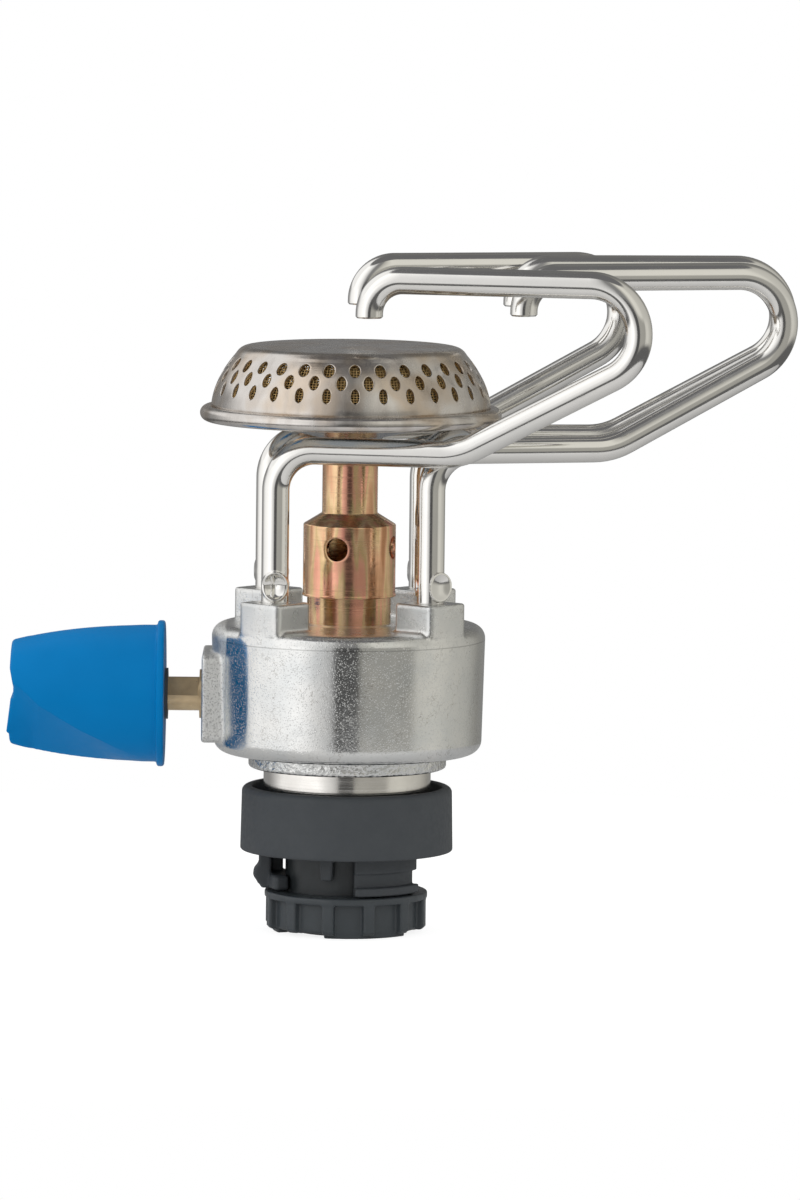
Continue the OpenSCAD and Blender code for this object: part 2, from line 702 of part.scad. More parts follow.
module coupling_wheel() {
    recess_r = wheel_r - rib_depth;
    well_top = clip_z + clip_h + 2 * turn_gap;
    rib_face = wheel_r - turn_gap;
    rib_top = wheel_h - wheel_rim_h / 2;
    foot_r = recess_r - turn_gap;
    color([0.13, 0.13, 0.14]) difference() {
        union() {
            translate([0, 0, foot_h]) cylinder(r1 = recess_r - foot_h, r2 = recess_r, h = foot_h);
            translate([0, 0, 2 * foot_h]) cylinder(r = recess_r, h = wheel_h - 2 * foot_h);
            translate([0, 0, wheel_h - wheel_rim_h]) cylinder(r = wheel_r, h = wheel_rim_h);
            for (i = [0:wheel_ribs - 1])
                rotate(rib_phase + i * 360 / wheel_ribs) translate([0, rib_w / 2, 0]) rotate([90, 0, 0])
                    linear_extrude(rib_w) polygon([
                        [socket_r, foot_h], [rib_face - rib_bevel, foot_h], [rib_face, foot_h + rib_bevel],
                        [rib_face, rib_top], [socket_r, rib_top]
                    ]);
            for (i = [0:2])
                rotate(foot_phase - foot_arc / 2 + 120 * i) rotate_extrude(angle = foot_arc)
                    translate([socket_r, 0]) square([foot_r - socket_r, 2 * foot_h]);
        }
        translate([0, 0, -cut]) cylinder(r = spigot_r + running_gap, h = wheel_h + 2 * cut);
        translate([0, 0, -cut]) cylinder(r = wheel_well_r, h = well_top + cut);
    }
}

module wheel_circlip() {
    inner = spigot_r - clip_groove + running_gap;
    color("gray") translate([0, 0, clip_z]) difference() {
        ring(inner + clip_w, inner, clip_h);
        rotate(90) translate([0, -2, -cut]) cube([2 * spigot_r, 4, clip_h + 2 * cut]);
    }
}

module inlet_probe() {
    collar_z = collar_roof - probe_collar_h;
    color("gold") difference() {
        union() {
            translate([0, 0, socket_roof + part_gap]) cylinder(r = nipple_r, h = collar_z - socket_roof);
            translate([0, 0, collar_z]) cylinder(r = probe_collar_r, h = probe_collar_h);
            translate([0, 0, collar_roof - cut]) cylinder(r = probe_r, h = probe_top - collar_roof + cut);
        }
        cylinder(r = probe_bore_r, h = probe_top + cut);
        translate([0, 0, probe_top - filter_h]) cylinder(r = filter_r + running_gap, h = filter_h + cut);
    }
}

module inlet_seal() {
    color("black") translate([0, 0, socket_roof]) ring(seal_r - running_gap, nipple_r + part_gap, seal_h);
}

module inlet_filter() {
    color("peru") translate([0, 0, probe_top - filter_h]) cylinder(r = filter_r, h = filter_h);
}

valve_body();
mixer_tube();
gas_jet();
jet_filter();
burner_bowl();
burner_cap();
burner_mesh();
gland_nut();
gland_o_ring();
valve_spindle();
control_knob();
knob_bush();
front_left_arm();
front_right_arm();
rear_left_arm();
rear_right_arm();
leg_snap_rings();
connector_shroud();
coupling_core();
coupling_wheel();
wheel_circlip();
inlet_probe();
inlet_seal();
inlet_filter();
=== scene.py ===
import json
from math import atan2, cos, degrees, hypot, pi, radians, sin, sqrt, tan

import bmesh
import bpy
import numpy as np
from mathutils import Matrix, Vector


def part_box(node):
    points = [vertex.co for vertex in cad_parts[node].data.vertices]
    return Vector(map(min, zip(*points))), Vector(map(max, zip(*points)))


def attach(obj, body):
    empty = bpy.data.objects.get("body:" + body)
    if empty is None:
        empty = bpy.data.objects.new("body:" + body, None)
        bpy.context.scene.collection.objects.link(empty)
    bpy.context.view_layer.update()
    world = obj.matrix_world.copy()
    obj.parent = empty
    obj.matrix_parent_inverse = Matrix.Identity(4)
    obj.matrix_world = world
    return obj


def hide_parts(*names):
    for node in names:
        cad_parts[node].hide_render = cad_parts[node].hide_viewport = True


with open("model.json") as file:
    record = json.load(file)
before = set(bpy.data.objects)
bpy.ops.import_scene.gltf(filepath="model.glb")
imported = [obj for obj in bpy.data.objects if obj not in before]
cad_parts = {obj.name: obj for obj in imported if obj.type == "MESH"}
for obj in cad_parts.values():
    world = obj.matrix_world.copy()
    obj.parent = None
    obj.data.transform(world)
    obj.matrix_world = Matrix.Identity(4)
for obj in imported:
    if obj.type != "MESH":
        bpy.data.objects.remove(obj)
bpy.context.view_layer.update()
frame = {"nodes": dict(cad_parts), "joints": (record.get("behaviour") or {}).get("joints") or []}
scene = bpy.context.scene

# The camping stove's sizes are in millimetres, and turn to metres where a mesh is made.
MM = 0.001
METAL, PLASTIC = 1.0, 0.0
WELD_GAP = 2e-6


def span(node):
    """Lowest and highest corner of a CAD node, in millimetres."""
    low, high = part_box(node)
    return np.array(low) / MM, np.array(high) / MM


# Sizes read from the frame
body_low, body_high = span("valve_body")
cap_low, cap_high = span("burner_cap")
tube_low, tube_high = span("mixer_tube")
shroud_low, shroud_high = span("connector_shroud")
knob_low, knob_high = span("control_knob")
wheel_high = span("coupling_wheel")[1]
bowl_foot = span("burner_bowl")[0][2]
boss_top = body_high[2]
body_r = body_high[0]
pad_face = body_low[0]
joint_place = {joint["child"]: np.array(joint["pos_m"]) / MM for joint in frame["joints"]}
valve_z = joint_place["knob"][2]

# Casting
boss_h = 5.2
boss_w = 9.7
boss_corner = 1.4
boss_fillet = 0.8
boss_root = 4
boss_inset, boss_lean = 0.15, 0.6
body_top = boss_top - boss_h
body_h = 23.7
body_z = body_top - body_h
draft_slope = 0.025
cast_edge = 0.5
top_edge_r = 2.5
foot_edge_r = 2.4
parting_z = body_top - top_edge_r - 0.1
flange_h = 2.8
flange_z = body_z - flange_h
flange_r = 18.2
neck_z = body_low[2]
neck_r = 15.4
stem_r = 8.75
hub_r = 8.9
hub_top = tube_low[2]
hub_edge = 0.4
overlap = 3
pad_w = 20
pad_h = 16.2
pad_root = -12
pad_corner = 1.6
flat_side = (sin(radians(56)), -cos(radians(56)))
flat_reach = body_r * cos(radians(8.6))
flat_edge = 0.12
leg_hole = 2.55
leg_sink = 18
leg_hole_edge = 0.25

# Mixer tube
collar_r = 7.7
collar_top = hub_top + 5
sleeve_r = 8.5
sleeve_top = collar_top + 13.2
cone_top = sleeve_top + 2.1
riser_r = 5.1
tube_wall = 0.9
air_hole_z = collar_top + 9.1
air_hole_d = 4.15
air_holes = 4
air_band = 7.0
air_turn = -106 - 180 / air_holes

# Burner
bead_r = 1.4
rim_z = cap_low[2] + bead_r
cap_top = cap_high[2]
cap_h = cap_top - rim_z
bead_ring_r = cap_high[0] - bead_r
cap_wall_r = 25.6
cap_top_r = 19.6
cap_edge_r = 20.8
wall_low = 2.1
wall_rise = cap_h - wall_low - 1
wall_bow = 0.72
wall_lean = atan2(cap_wall_r - cap_edge_r, wall_rise)
wall_slope = hypot(cap_wall_r - cap_edge_r, wall_rise)
band_low, band_high = 0.16, 0.93
sheet = 0.8
flame_count = 30
flame_turn = -88 - 180 / flame_count
flame_rows = ((0.315, 0.0, 1.55, 3.0), (0.56, 0.5, 1.75, 2.8), (0.79, 0.0, 1.95, 2.45))

# Arms, with the side that each staked button faces in degrees
rod_r = 2.5
rod_sides = 144
rod_end_edge = 0.3
run_z = boss_top + 27.95
bend_r = 7.4
knee_r = 13
loop_r = 8.8
hook_r = 6.2
slant = radians(27.7)
hook_reach = 17.1
hook_tip = 0.8
ear_r = 2.8
ear_rise = 3.1
button_out = 3.0
button_edge, button_dip = 0.3, 0.45
button_ways = {"front_left": 90, "front_right": -50, "rear_left": -60, "rear_right": -60}
dish_wide, dish_tall, dish_depth = 1.9, 2.3, 1.3
dish_rim, dish_rim_at, dish_rim_wide = 0.3, 1.1, 0.12
ridge_h, ridge_at, ridge_wide = 0.8, 0.6, 0.22

# Connector
shroud_r, shroud_top = shroud_high[0], shroud_high[2]
claw_z = shroud_low[2]
shroud_z = claw_z + 7.2
shroud_bore = shroud_r - 2
shroud_flare, shroud_draft = 0.08, 0.02
groove_rise, groove_half = 3.1, 1.5
seat_rise, stem_rise = 2.6, 3.6
mould_edge = 0.3
claw_r = 11.6
claw_wall = 2.8
claw_out = claw_r + claw_wall
claw_mid = claw_r + claw_wall / 2
claw_places = (-52, 68)
claw_half = 31
claw_post, claw_waist = 0.4, 1.2
post_rise = 4.1
lip_half, finger_half = 0.8, 1.4
nose_half = 2.6
hook_place, hook_half = 180, 27
tab_turn = radians(-106)
wheel_r, wheel_top = wheel_high[0], wheel_high[2]
wheel_recess = wheel_r - 1.4
wheel_foot = 0.7
wheel_rim_h = 1.3
wheel_edge = 0.35
rib_count, rib_turn = 12, radians(-102.6)
rib_half, rib_top, rib_root = 1.1, 0.6, 10
foot_count, foot_turn = 3, radians(-71.5)
foot_half = radians(35.5)
foot_r, foot_half_h = 12, 0.9
wheel_bore, wheel_seat, wheel_seat_z = 9.55, 11.4, 2.6

# Knob, measured outwards along its axis: the cut of its end by height, and the turn of the crease in degrees
knob_back = -knob_high[0]
knob_len = knob_high[0] - knob_low[0]
knob_r = 12.6
knob_end_r = 9.6
knob_lip, knob_lip_h = 13.45, 1.4
barrel_start, barrel_len = 2.5, knob_len - 3.5
knob_bore, knob_bore_len = 3.15, 18
end_up = (-9, -7.3, -7.0, -0.6, -0.4, 1.75, 5.1, 9)
end_cut = (0.6, 0.45, 0.0, 0.84, 1.3, 1.4, 0.7, 0.8)
crease_out = (3, 6.8, 11.2, 15.6, 22.9, 27.5, 29)
crease_turn = (68, 54, 40, 28.6, 7, -16, -24)
widest_hollow = 90
hollow_start, hollow_grow = 4, 8


# Node trees
def add(tree, kind, *links, **settings):
    """A new node, a shader node if only its kind is named. Settings are its own switches, and links pair
    a socket with its value or its source."""
    node = tree.nodes.new(kind if "Node" in kind else f"ShaderNode{kind}")
    for key, value in settings.items():
        setattr(node, key, value)
    for socket, value in links:
        if isinstance(value, bpy.types.NodeSocket):
            tree.links.new(value, node.inputs[socket])
        else:
            node.inputs[socket].default_value = value
    return node


def made(tree, kind, *links, **settings):
    """The first output of a new node."""
    return add(tree, kind, *links, **settings).outputs[0]


def calc(tree, operation, first, second=0.0):
    """One step of arithmetic on two numbers or sockets."""
    return made(tree, "Math", (0, first), (1, second), operation=operation)


def times(tree, first, second):
    return calc(tree, "MULTIPLY", first, second)


def plus(tree, first, second):
    return calc(tree, "ADD", first, second)


def less(tree, first, second):
    return calc(tree, "SUBTRACT", first, second)


def ramp(tree, value, low, high, to_low=0.0, to_high=1.0, smooth=False):
    """The value, carried from one range to another and held at its ends."""
    return made(
        tree, "MapRange", ("Value", value), ("From Min", low), ("From Max", high),
        ("To Min", to_low), ("To Max", to_high), interpolation_type="SMOOTHSTEP" if smooth else "LINEAR",
    )


def mixed(tree, amount, first, second):
    """Two colours, mixed by an amount."""
    ends = [end if isinstance(end, bpy.types.NodeSocket) else (*end, 1) for end in (first, second)]
    return add(tree, "Mix", (0, amount), (6, ends[0]), (7, ends[1]), data_type="RGBA").outputs[2]


def banded(tree, share, stops):
    """Colours along a share from 0 to 1, from pairs of a place and a colour."""
    node = add(tree, "ValToRGB", ("Fac", share))
    edges = node.color_ramp.elements
    while len(edges) < len(stops):
        edges.new(1.0)
    for edge, (at, colour) in zip(edges, stops):
        edge.position = at
        edge.color = (*colour, 1)
    return node.outputs[0]


def spread(tree, vector):
    """The three numbers of a vector."""
    return add(tree, "SeparateXYZ", ("Vector", vector)).outputs


def here(tree):
    """Object coordinates."""
    return add(tree, "TexCoord").outputs["Object"]


def spot(tree, size, stretch=(1, 1, 1)):
    """Object coordinates counted in steps of so many millimetres, and stretched."""
    scale = [1 / (MM * size * way) for way in stretch]
    return made(tree, "Mapping", ("Vector", here(tree)), ("Scale", scale))


def noise(tree, vector, detail):
    return add(tree, "TexNoise", ("Vector", vector), ("Scale", 1.0), ("Detail", detail)).outputs["Fac"]


def grain(tree, size, detail=2.0, stretch=(1, 1, 1)):
    """Soft noise with lumps of that size in millimetres."""
    return noise(tree, spot(tree, size, stretch), detail)


def height_above(tree, axis="Z"):
    """One object coordinate, in millimetres."""
    return times(tree, spread(tree, here(tree))[axis], 1 / MM)


def turning_lines(tree, size):
    """Fine lines round the burner axis, as a lathe leaves them."""
    parts = spread(tree, here(tree))
    flat = made(tree, "CombineXYZ", ("X", parts["X"]), ("Y", parts["Y"]))
    out = add(tree, "VectorMath", (0, flat), operation="LENGTH").outputs["Value"]
    line = made(tree, "CombineXYZ", ("X", out), ("Z", parts["Z"]))
    return noise(tree, made(
        tree, "VectorMath", (0, line), ("Scale", 1 / (MM * size)), operation="SCALE"
    ), 1.0)


def bumped(tree, height, depth, under=None):
    """A bump of that depth in millimetres, over another bump if there is one."""
    links = [("Height", height), ("Distance", depth * MM), ("Strength", 1.0)]
    if under is not None:
        links.append(("Normal", under))
    return made(tree, "Bump", *links)


def new_material(name):
    """A new material and its node tree."""
    material = bpy.data.materials.new(name)
    material.use_nodes = True
    return material, material.node_tree


def finish(name, metal, colour, rough, normal=None, **more):
    """A material from makers of its colour, roughness and bump, which each get the node tree."""
    material, tree = new_material(name)
    shader = tree.nodes["Principled BSDF"]
    shader.inputs["Metallic"].default_value = metal
    for socket, value in more.items():
        shader.inputs[socket.replace("_", " ")].default_value = value
    tree.links.new(colour(tree), shader.inputs["Base Color"])
    tree.links.new(rough(tree), shader.inputs["Roughness"])
    if normal:
        tree.links.new(normal(tree), shader.inputs["Normal"])
    return material


# Finishes: makers that get a node tree
def lumps(size, detail=2.0, stretch=(1, 1, 1)):
    """Soft noise with lumps of that size."""
    return lambda tree: grain(tree, size, detail, stretch)


def lathe(size):
    """Turning lines of that size."""
    return lambda tree: turning_lines(tree, size)


def pores(tree):
    """Round grains, pressed together."""
    return made(tree, "TexVoronoi", ("Vector", spot(tree, 0.22)), ("Scale", 1.0))


def shades(value, first, second, low=0.0, high=1.0):
    """Two colours, mixed by how far a value has gone from low to high."""
    return lambda tree: mixed(tree, ramp(tree, value(tree), low, high), first, second)


def levels(value, first, second, low=0.3, high=0.7):
    """Two numbers, mixed by how far a value has gone from low to high."""
    return lambda tree: ramp(tree, value(tree), low, high, first, second)


def masked(value, mask):
    """A value where the mask lets it stand."""
    return lambda tree: times(tree, value(tree), mask(tree))


def relief(*layers):
    """Bumps over each other, from pairs of a value and a depth in millimetres."""
    def normal(tree):
        under = None
        for value, depth in layers:
            under = bumped(tree, value(tree), depth, under)
        return under

    return normal


def pad_mask(tree):
    """Where the casting keeps its sand skin: on the valve pad."""
    return ramp(tree, height_above(tree, "X"), pad_face + 4.6, pad_face + 4.2)


def flat_mask(tree):
    """Where the casting is dulled: on the flats beside the valve pad."""
    side = times(tree, calc(tree, "ABSOLUTE", height_above(tree, "Y")), -flat_side[1])
    out = less(tree, side, times(tree, height_above(tree, "X"), flat_side[0]))
    return ramp(tree, out, flat_reach - 0.8, flat_reach - 0.5)


# The casting is left lumpy on the flange, and is satin on the body's top and its bosses
flange_mask = levels(height_above, 0.0, 1.0, body_z + 0.5, body_z - 0.1)
boss_mask = levels(height_above, 0.0, 1.0, body_top - 1.2, body_top - 0.1)


def apart(tree, value, middle):
    """How far a value is from a middle."""
    return calc(tree, "ABSOLUTE", less(tree, value, middle))


def zinc_colour(tree):
    """Clouded metal with hair lines and specks, a dark parting line and a pale, pitted pad."""
    skin = shades(lumps(7, 4), (0.70, 0.71, 0.705), (0.78, 0.775, 0.755), 0.35, 0.65)(tree)
    vein = ramp(tree, apart(tree, grain(tree, 1.9, 3), 0.5), 0.016, 0.004)
    hair = times(tree, vein, ramp(tree, grain(tree, 5), 0.46, 0.58))
    lined = times(tree, hair, ramp(tree, flat_mask(tree), 0, 1, 0.45, 0.0))
    speck = times(tree, ramp(tree, grain(tree, 0.5, 1), 0.60, 0.74), 0.22)
    parting = ramp(tree, apart(tree, height_above(tree), parting_z), 0.16, 0.05, 0, 0.4)
    sand = times(tree, pad_mask(tree), 0.75)
    pits = times(tree, times(tree, ramp(tree, grain(tree, 0.36, 1), 0.53, 0.65), pad_mask(tree)), 0.5)
    for amount, colour in (
        (lined, (0.33, 0.31, 0.28)), (speck, (0.45, 0.45, 0.45)), (parting, (0.20, 0.20, 0.19)),
        (sand, (0.90, 0.90, 0.88)), (pits, (0.34, 0.34, 0.33)),
    ):
        skin = mixed(tree, amount, skin, colour)
    return skin


def zinc_rough(tree):
    rough = levels(lumps(2.4, 5), 0.09, 0.17)(tree)
    for mask, more in ((pad_mask, 0.3), (boss_mask, 0.16), (flat_mask, 0.08), (flange_mask, 0.06)):
        rough = plus(tree, rough, times(tree, mask(tree), more))
    return rough


def chromate_colour(tree):
    """Yellow to red streaks, dulled in clouds."""
    bands = banded(tree, grain(tree, 2.2, 2, (1, 1, 9)), (
        (0.30, (0.50, 0.25, 0.13)), (0.40, (0.78, 0.45, 0.27)), (0.48, (0.86, 0.60, 0.35)),
        (0.55, (0.70, 0.50, 0.26)), (0.62, (0.86, 0.44, 0.30)), (0.72, (0.82, 0.36, 0.26)),
    ))
    return mixed(tree, ramp(tree, grain(tree, 4, 4), 0.45, 0.7, 0, 0.35), bands, (0.44, 0.27, 0.14))


def stainless_colour(tree):
    """Warm where it was heated, with grey smears."""
    warm = shades(lumps(9, 2), (0.68, 0.645, 0.61), (0.60, 0.51, 0.42), 0.44, 0.60)(tree)
    smear = ramp(tree, grain(tree, 2.5, 4, (1, 1, 3)), 0.47, 0.7, 0, 0.45)
    return mixed(tree, smear, warm, (0.44, 0.40, 0.37))


def plating_rough(tree):
    worn = levels(lumps(5, 4), 0.07, 0.17, 0.42, 0.68)(tree)
    return plus(tree, worn, levels(lumps(0.5, 2), 0, 0.05, 0.5, 0.8)(tree))


cast_relief = relief(
    (lumps(1.8, 3), 0.006), (lumps(0.30), 0.007), (levels(lumps(0.26, 0), 0.0, 1.0, 0.64, 0.76), 0.018),
    (masked(lumps(0.5), pad_mask), 0.11), (masked(lumps(1.1, 3), flange_mask), 0.45),
)
sheet_rough = levels(lumps(1.5, 4, (1, 1, 2.5)), 0.17, 0.29)
sheet_relief = relief((lathe(0.22), 0.006), (lumps(0.4, 3), 0.005))
wire_rough = levels(lumps(0.8), 0.35, 0.55)
moulded_rough = levels(lumps(1.1, 3), 0.32, 0.46)
moulded_relief = relief((lumps(0.3), 0.006))
spark_relief = relief((lumps(0.22), 0.010))

zinc = finish("cast_zinc", METAL, zinc_colour, zinc_rough, cast_relief)
turned_zinc = finish(
    "turned_zinc", METAL, shades(lumps(3, 4), (0.74, 0.71, 0.67), (0.90, 0.88, 0.84)),
    levels(lathe(0.25), 0.10, 0.22), relief((lathe(0.3), 0.012)),
)
chromate = finish(
    "yellow_chromate", METAL, chromate_colour,
    levels(lathe(0.2), 0.12, 0.30, 0.3, 0.75), relief((lathe(0.24), 0.008)),
)
stainless = finish("satin_stainless", METAL, stainless_colour, sheet_rough, sheet_relief)
heated_steel = finish(
    "heated_steel", METAL, shades(lumps(9, 2), (0.40, 0.43, 0.46), (0.52, 0.49, 0.44), 0.4, 0.6),
    sheet_rough, sheet_relief,
)
gauze_wire = finish(
    "gauze_wire", METAL, shades(lumps(2, 3), (0.56, 0.38, 0.16), (0.84, 0.64, 0.33)), wire_rough
)
plating = finish(
    "bright_plating", METAL, shades(lumps(8, 3), (0.80, 0.79, 0.77), (0.90, 0.88, 0.84)),
    plating_rough, relief((lumps(4.5, 1), 0.016), (lumps(0.6, 3), 0.0018)),
)
blue_plastic = finish(
    "blue_moulding", PLASTIC, shades(lumps(9, 2), (0.0005, 0.162, 0.43), (0.001, 0.190, 0.50)),
    levels(lumps(1.2, 4), 0.30, 0.40), relief((lumps(0.35), 0.003)), Specular_IOR_Level=0.05,
)
grey_plastic = finish(
    "grey_moulding", PLASTIC, shades(lumps(3.5, 4), (0.047, 0.053, 0.060), (0.060, 0.066, 0.072)),
    levels(lumps(0.9, 3), 0.48, 0.62), spark_relief, Specular_IOR_Level=0.3,
)
black_plastic = finish(
    "black_moulding", PLASTIC, shades(lumps(3, 4), (0.036, 0.044, 0.050), (0.050, 0.058, 0.065)),
    moulded_rough, moulded_relief,
)
# The drum is the same black moulding as the wheel, painted darker as shade where it lies between the shroud
# and the wheel.
shaded_drum_plastic = finish(
    "shaded_drum_moulding", PLASTIC, shades(lumps(2.5, 4), (0.017, 0.021, 0.024), (0.026, 0.031, 0.034)),
    moulded_rough, moulded_relief,
)
brass = finish(
    "turned_brass", METAL, shades(lumps(2.2, 4), (0.82, 0.64, 0.40), (0.68, 0.51, 0.31), 0.35, 0.7),
    levels(lumps(0.9, 3, (3, 1, 1)), 0.26, 0.42), relief((lumps(0.2, 1, (1, 6, 6)), 0.004)),
)
rubber = finish(
    "seal_rubber", PLASTIC, shades(lumps(1.5, 3), (0.014, 0.014, 0.015), (0.028, 0.028, 0.028)),
    levels(lumps(0.6), 0.6, 0.8), spark_relief,
)
spring_steel = finish(
    "spring_steel", METAL, shades(lumps(1.5, 3), (0.20, 0.20, 0.21), (0.38, 0.37, 0.36)),
    levels(lumps(0.7), 0.28, 0.45),
)
# The bronze is painted nearly black in the gaps between its grains, which the bump sinks: painted shade in
# the pores.
sinter = finish(
    "sintered_bronze", METAL, shades(pores, (0.62, 0.42, 0.22), (0.16, 0.10, 0.05), 0.2, 0.7),
    wire_rough, relief((pores, -0.06)),
)


# Meshes
def shown(name, points=(), faces=(), *materials):
    """A new object in the scene, from points in metres."""
    mesh = bpy.data.meshes.new(name)
    mesh.from_pydata(points, [], faces)
    for material in materials:
        mesh.materials.append(material)
    piece = bpy.data.objects.new(name, mesh)
    scene.collection.objects.link(piece)
    return piece


def new_piece(name, points, faces, material, crease=38):
    """A smooth mesh from points in millimetres, with its edges sharp past the crease angle."""
    piece = shown(name, (np.asarray(points, float) * MM).tolist(), faces, material)
    welded(piece, crease)
    return piece


def welded(piece, crease):
    """Joins points that lie together, turns the faces outwards and smooths all but the sharp edges."""
    work = bmesh.new()
    work.from_mesh(piece.data)
    bmesh.ops.remove_doubles(work, verts=work.verts, dist=WELD_GAP)
    bmesh.ops.recalc_face_normals(work, faces=work.faces)
    work.to_mesh(piece.data)
    work.free()
    piece.data.shade_smooth()
    piece.data.set_sharp_from_angle(angle=radians(crease))


def fitted(piece, body, slot, *nodes):
    """The piece moves with its body and stands for these nodes, which it hides. The slot is not used."""
    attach(piece, body)
    if nodes:
        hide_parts(*nodes)
    return piece


def ring_faces(rings, sides, closed=False, start=0):
    """Quads between rings of points that follow each other, and back to the first ring if closed."""
    faces = []
    for i in range(rings if closed else rings - 1):
        low, high = start + i * sides, start + (i + 1) % rings * sides
        for j in range(sides):
            k = (j + 1) % sides
            faces.append((low + j, low + k, high + k, high + j))
    return faces


def eased(corners, radius, steps=4, closed=False):
    """A profile of (radius, height) corners, each rounded off. A third number is a corner's own rounding."""
    most = 0.48
    ways = [np.array(corner[:2], float) for corner in corners]
    ends = () if closed else (0, len(ways) - 1)
    line = []
    for i, tip in enumerate(ways):
        if i in ends:
            line.append(tip)
            continue
        before = ways[i - 1] - tip
        after = ways[(i + 1) % len(ways)] - tip
        wish = corners[i][2] if len(corners[i]) > 2 else radius
        room = min(wish, most * np.linalg.norm(before), most * np.linalg.norm(after))
        start = tip + before / np.linalg.norm(before) * room
        stop = tip + after / np.linalg.norm(after) * room
        for j in range(steps + 1):
            t = j / steps
            line.append((1 - t) ** 2 * start + 2 * t * (1 - t) * tip + t ** 2 * stop)
    return line


def turned_piece(name, profile, material, segments=160, closed=True, turn=0.0):
    """A profile of (radius, height) points, turned about the burner axis."""
    angles = radians(turn) + np.arange(segments) * 2 * pi / segments
    ring = np.array(profile)
    points = np.stack([
        np.outer(ring[:, 0], np.cos(angles)), np.outer(ring[:, 0], np.sin(angles)),
        np.repeat(ring[:, 1:2], segments, axis=1),
    ], axis=-1).reshape(-1, 3)
    return new_piece(name, points, ring_faces(len(ring), segments, closed), material)


def joined(name, pieces, material, crease):
    """Several pieces made one, welded where they meet."""
    points, faces = [], []
    for piece in pieces:
        start = len(points)
        points.extend(np.array(vert.co) / MM for vert in piece.data.vertices)
        faces.extend([start + i for i in face.vertices] for face in piece.data.polygons)
        bpy.data.objects.remove(piece)
    return new_piece(name, points, faces, material, crease)


# Perforated sheet: one strip of cells, each with a hole, is laid flat and then wrapped round by nodes
def flat_strip(rows, low, high, across, upright, thickness, lip):
    """Points (cells across, share of the height, depth) and faces of one column of cells.
    A row is (height, shift, half width in cells, half height)."""
    zigzag = 0.05
    lip_dip, rim_dip = 0.045, 0.16
    edges = [low] + [(a[0] + b[0]) / 2 for a, b in zip(rows, rows[1:])] + [high]
    points, faces = [], []

    def edge_height(i, x):
        if i in (0, len(rows)):
            return edges[i]
        return edges[i] + zigzag * cos(2 * pi * (x - rows[i - 1][1] - 0.5))

    for i, (height, shift, half_w, half_h) in enumerate(rows):
        steps = [shift + j / across for j in range(across + 1)]
        border = [(x, edge_height(i, x)) for x in steps]
        foot, head = edge_height(i, steps[-1]), edge_height(i + 1, steps[-1])
        side = [foot + (head - foot) * j / upright for j in range(1, upright)]
        border += [(steps[-1], t) for t in side]
        border += [(x, edge_height(i + 1, x)) for x in reversed(steps)]
        border += [(steps[0], t) for t in reversed(side)]
        border = np.array(border)
        centre = np.array([shift + 0.5, height])
        turn = np.arctan2((border[:, 1] - height) / half_h, (border[:, 0] - centre[0]) / half_w)
        hole = centre + np.stack([half_w * np.cos(turn), half_h * np.sin(turn)], axis=-1)
        rim = centre + (hole - centre) * (1 + lip)
        layers = [(border, 0.0)]
        layers += [(rim + (border - rim) * share, 0.0) for share in (0.7, 0.4, 0.15)]
        layers += [(rim, 0.0), (hole + (rim - hole) * 0.35, lip_dip), (hole, rim_dip), (hole, thickness)]
        layers += [(hole + (border - hole) * 0.4, thickness), (border, thickness)]
        faces += ring_faces(len(layers), len(border), start=len(points))
        for ring, depth in layers:
            points.extend((x, t, depth * MM) for x, t in ring)
    return points, faces


WRAP_SIZES = ("Count", "Turn", "Low", "Rise", "Foot Radius", "Top Radius", "Bow", "Lean")


def new_tree(name, sizes, geometry=True, material=True):
    """An empty geometry tree with named number inputs."""
    tree = bpy.data.node_groups.new(name, "GeometryNodeTree")
    sockets = [("Geometry", "OUTPUT", "Geometry")]
    if geometry:
        sockets.append(("Geometry", "INPUT", "Geometry"))
    sockets += [(size, "INPUT", "Float") for size in sizes]
    if material:
        sockets.append(("Material", "INPUT", "Material"))
    for socket, side, kind in sockets:
        tree.interface.new_socket(socket, in_out=side, socket_type=f"NodeSocket{kind}")
    return tree, add(tree, "NodeGroupInput").outputs


def wrap_tree():
    """Wraps flat work round a wall: x counts cells, y is a share of the height, z is the depth in it."""
    tree, given = new_tree("wrap_round_wall", WRAP_SIZES, material=False)
    flat = spread(tree, made(tree, "GeometryNodeInputPosition"))
    cell = calc(tree, "DIVIDE", 2 * pi, given["Count"])
    angle = plus(tree, times(tree, flat["X"], cell), given["Turn"])
    square = times(tree, times(tree, flat["Y"], flat["Y"]), given["Bow"])
    straight = times(tree, flat["Y"], less(tree, 1.0, given["Bow"]))
    shrink = less(tree, given["Top Radius"], given["Foot Radius"])
    side = plus(tree, given["Foot Radius"], times(tree, shrink, plus(tree, square, straight)))
    radius = less(tree, side, times(tree, flat["Z"], calc(tree, "COSINE", given["Lean"])))
    rise = plus(tree, given["Low"], times(tree, flat["Y"], given["Rise"]))
    height = less(tree, rise, times(tree, flat["Z"], calc(tree, "SINE", given["Lean"])))
    x = times(tree, radius, calc(tree, "COSINE", angle))
    y = times(tree, radius, calc(tree, "SINE", angle))
    place = made(tree, "CombineXYZ", (0, x), (1, y), (2, height))
    bent = made(tree, "GeometryNodeSetPosition", ("Geometry", given["Geometry"]), ("Position", place))
    add(tree, "NodeGroupOutput", (0, bent))
    return tree


def wrapped(tree, given, geometry):
    """Runs the wrapping tree inside another tree, on the sizes that this one is given."""
    sizes = [(size, given[size]) for size in WRAP_SIZES]
    return made(tree, "GeometryNodeGroup", ("Geometry", geometry), *sizes, node_tree=wrapping)


def repeated(tree, piece, count, gap):
    """Copies of a piece in a row, made real."""
    row = made(tree, "GeometryNodeMeshLine", ("Count", count), ("Offset", gap))
    copies = made(tree, "GeometryNodeInstanceOnPoints", ("Points", row), ("Instance", piece))
    return made(tree, "GeometryNodeRealizeInstances", (0, copies))


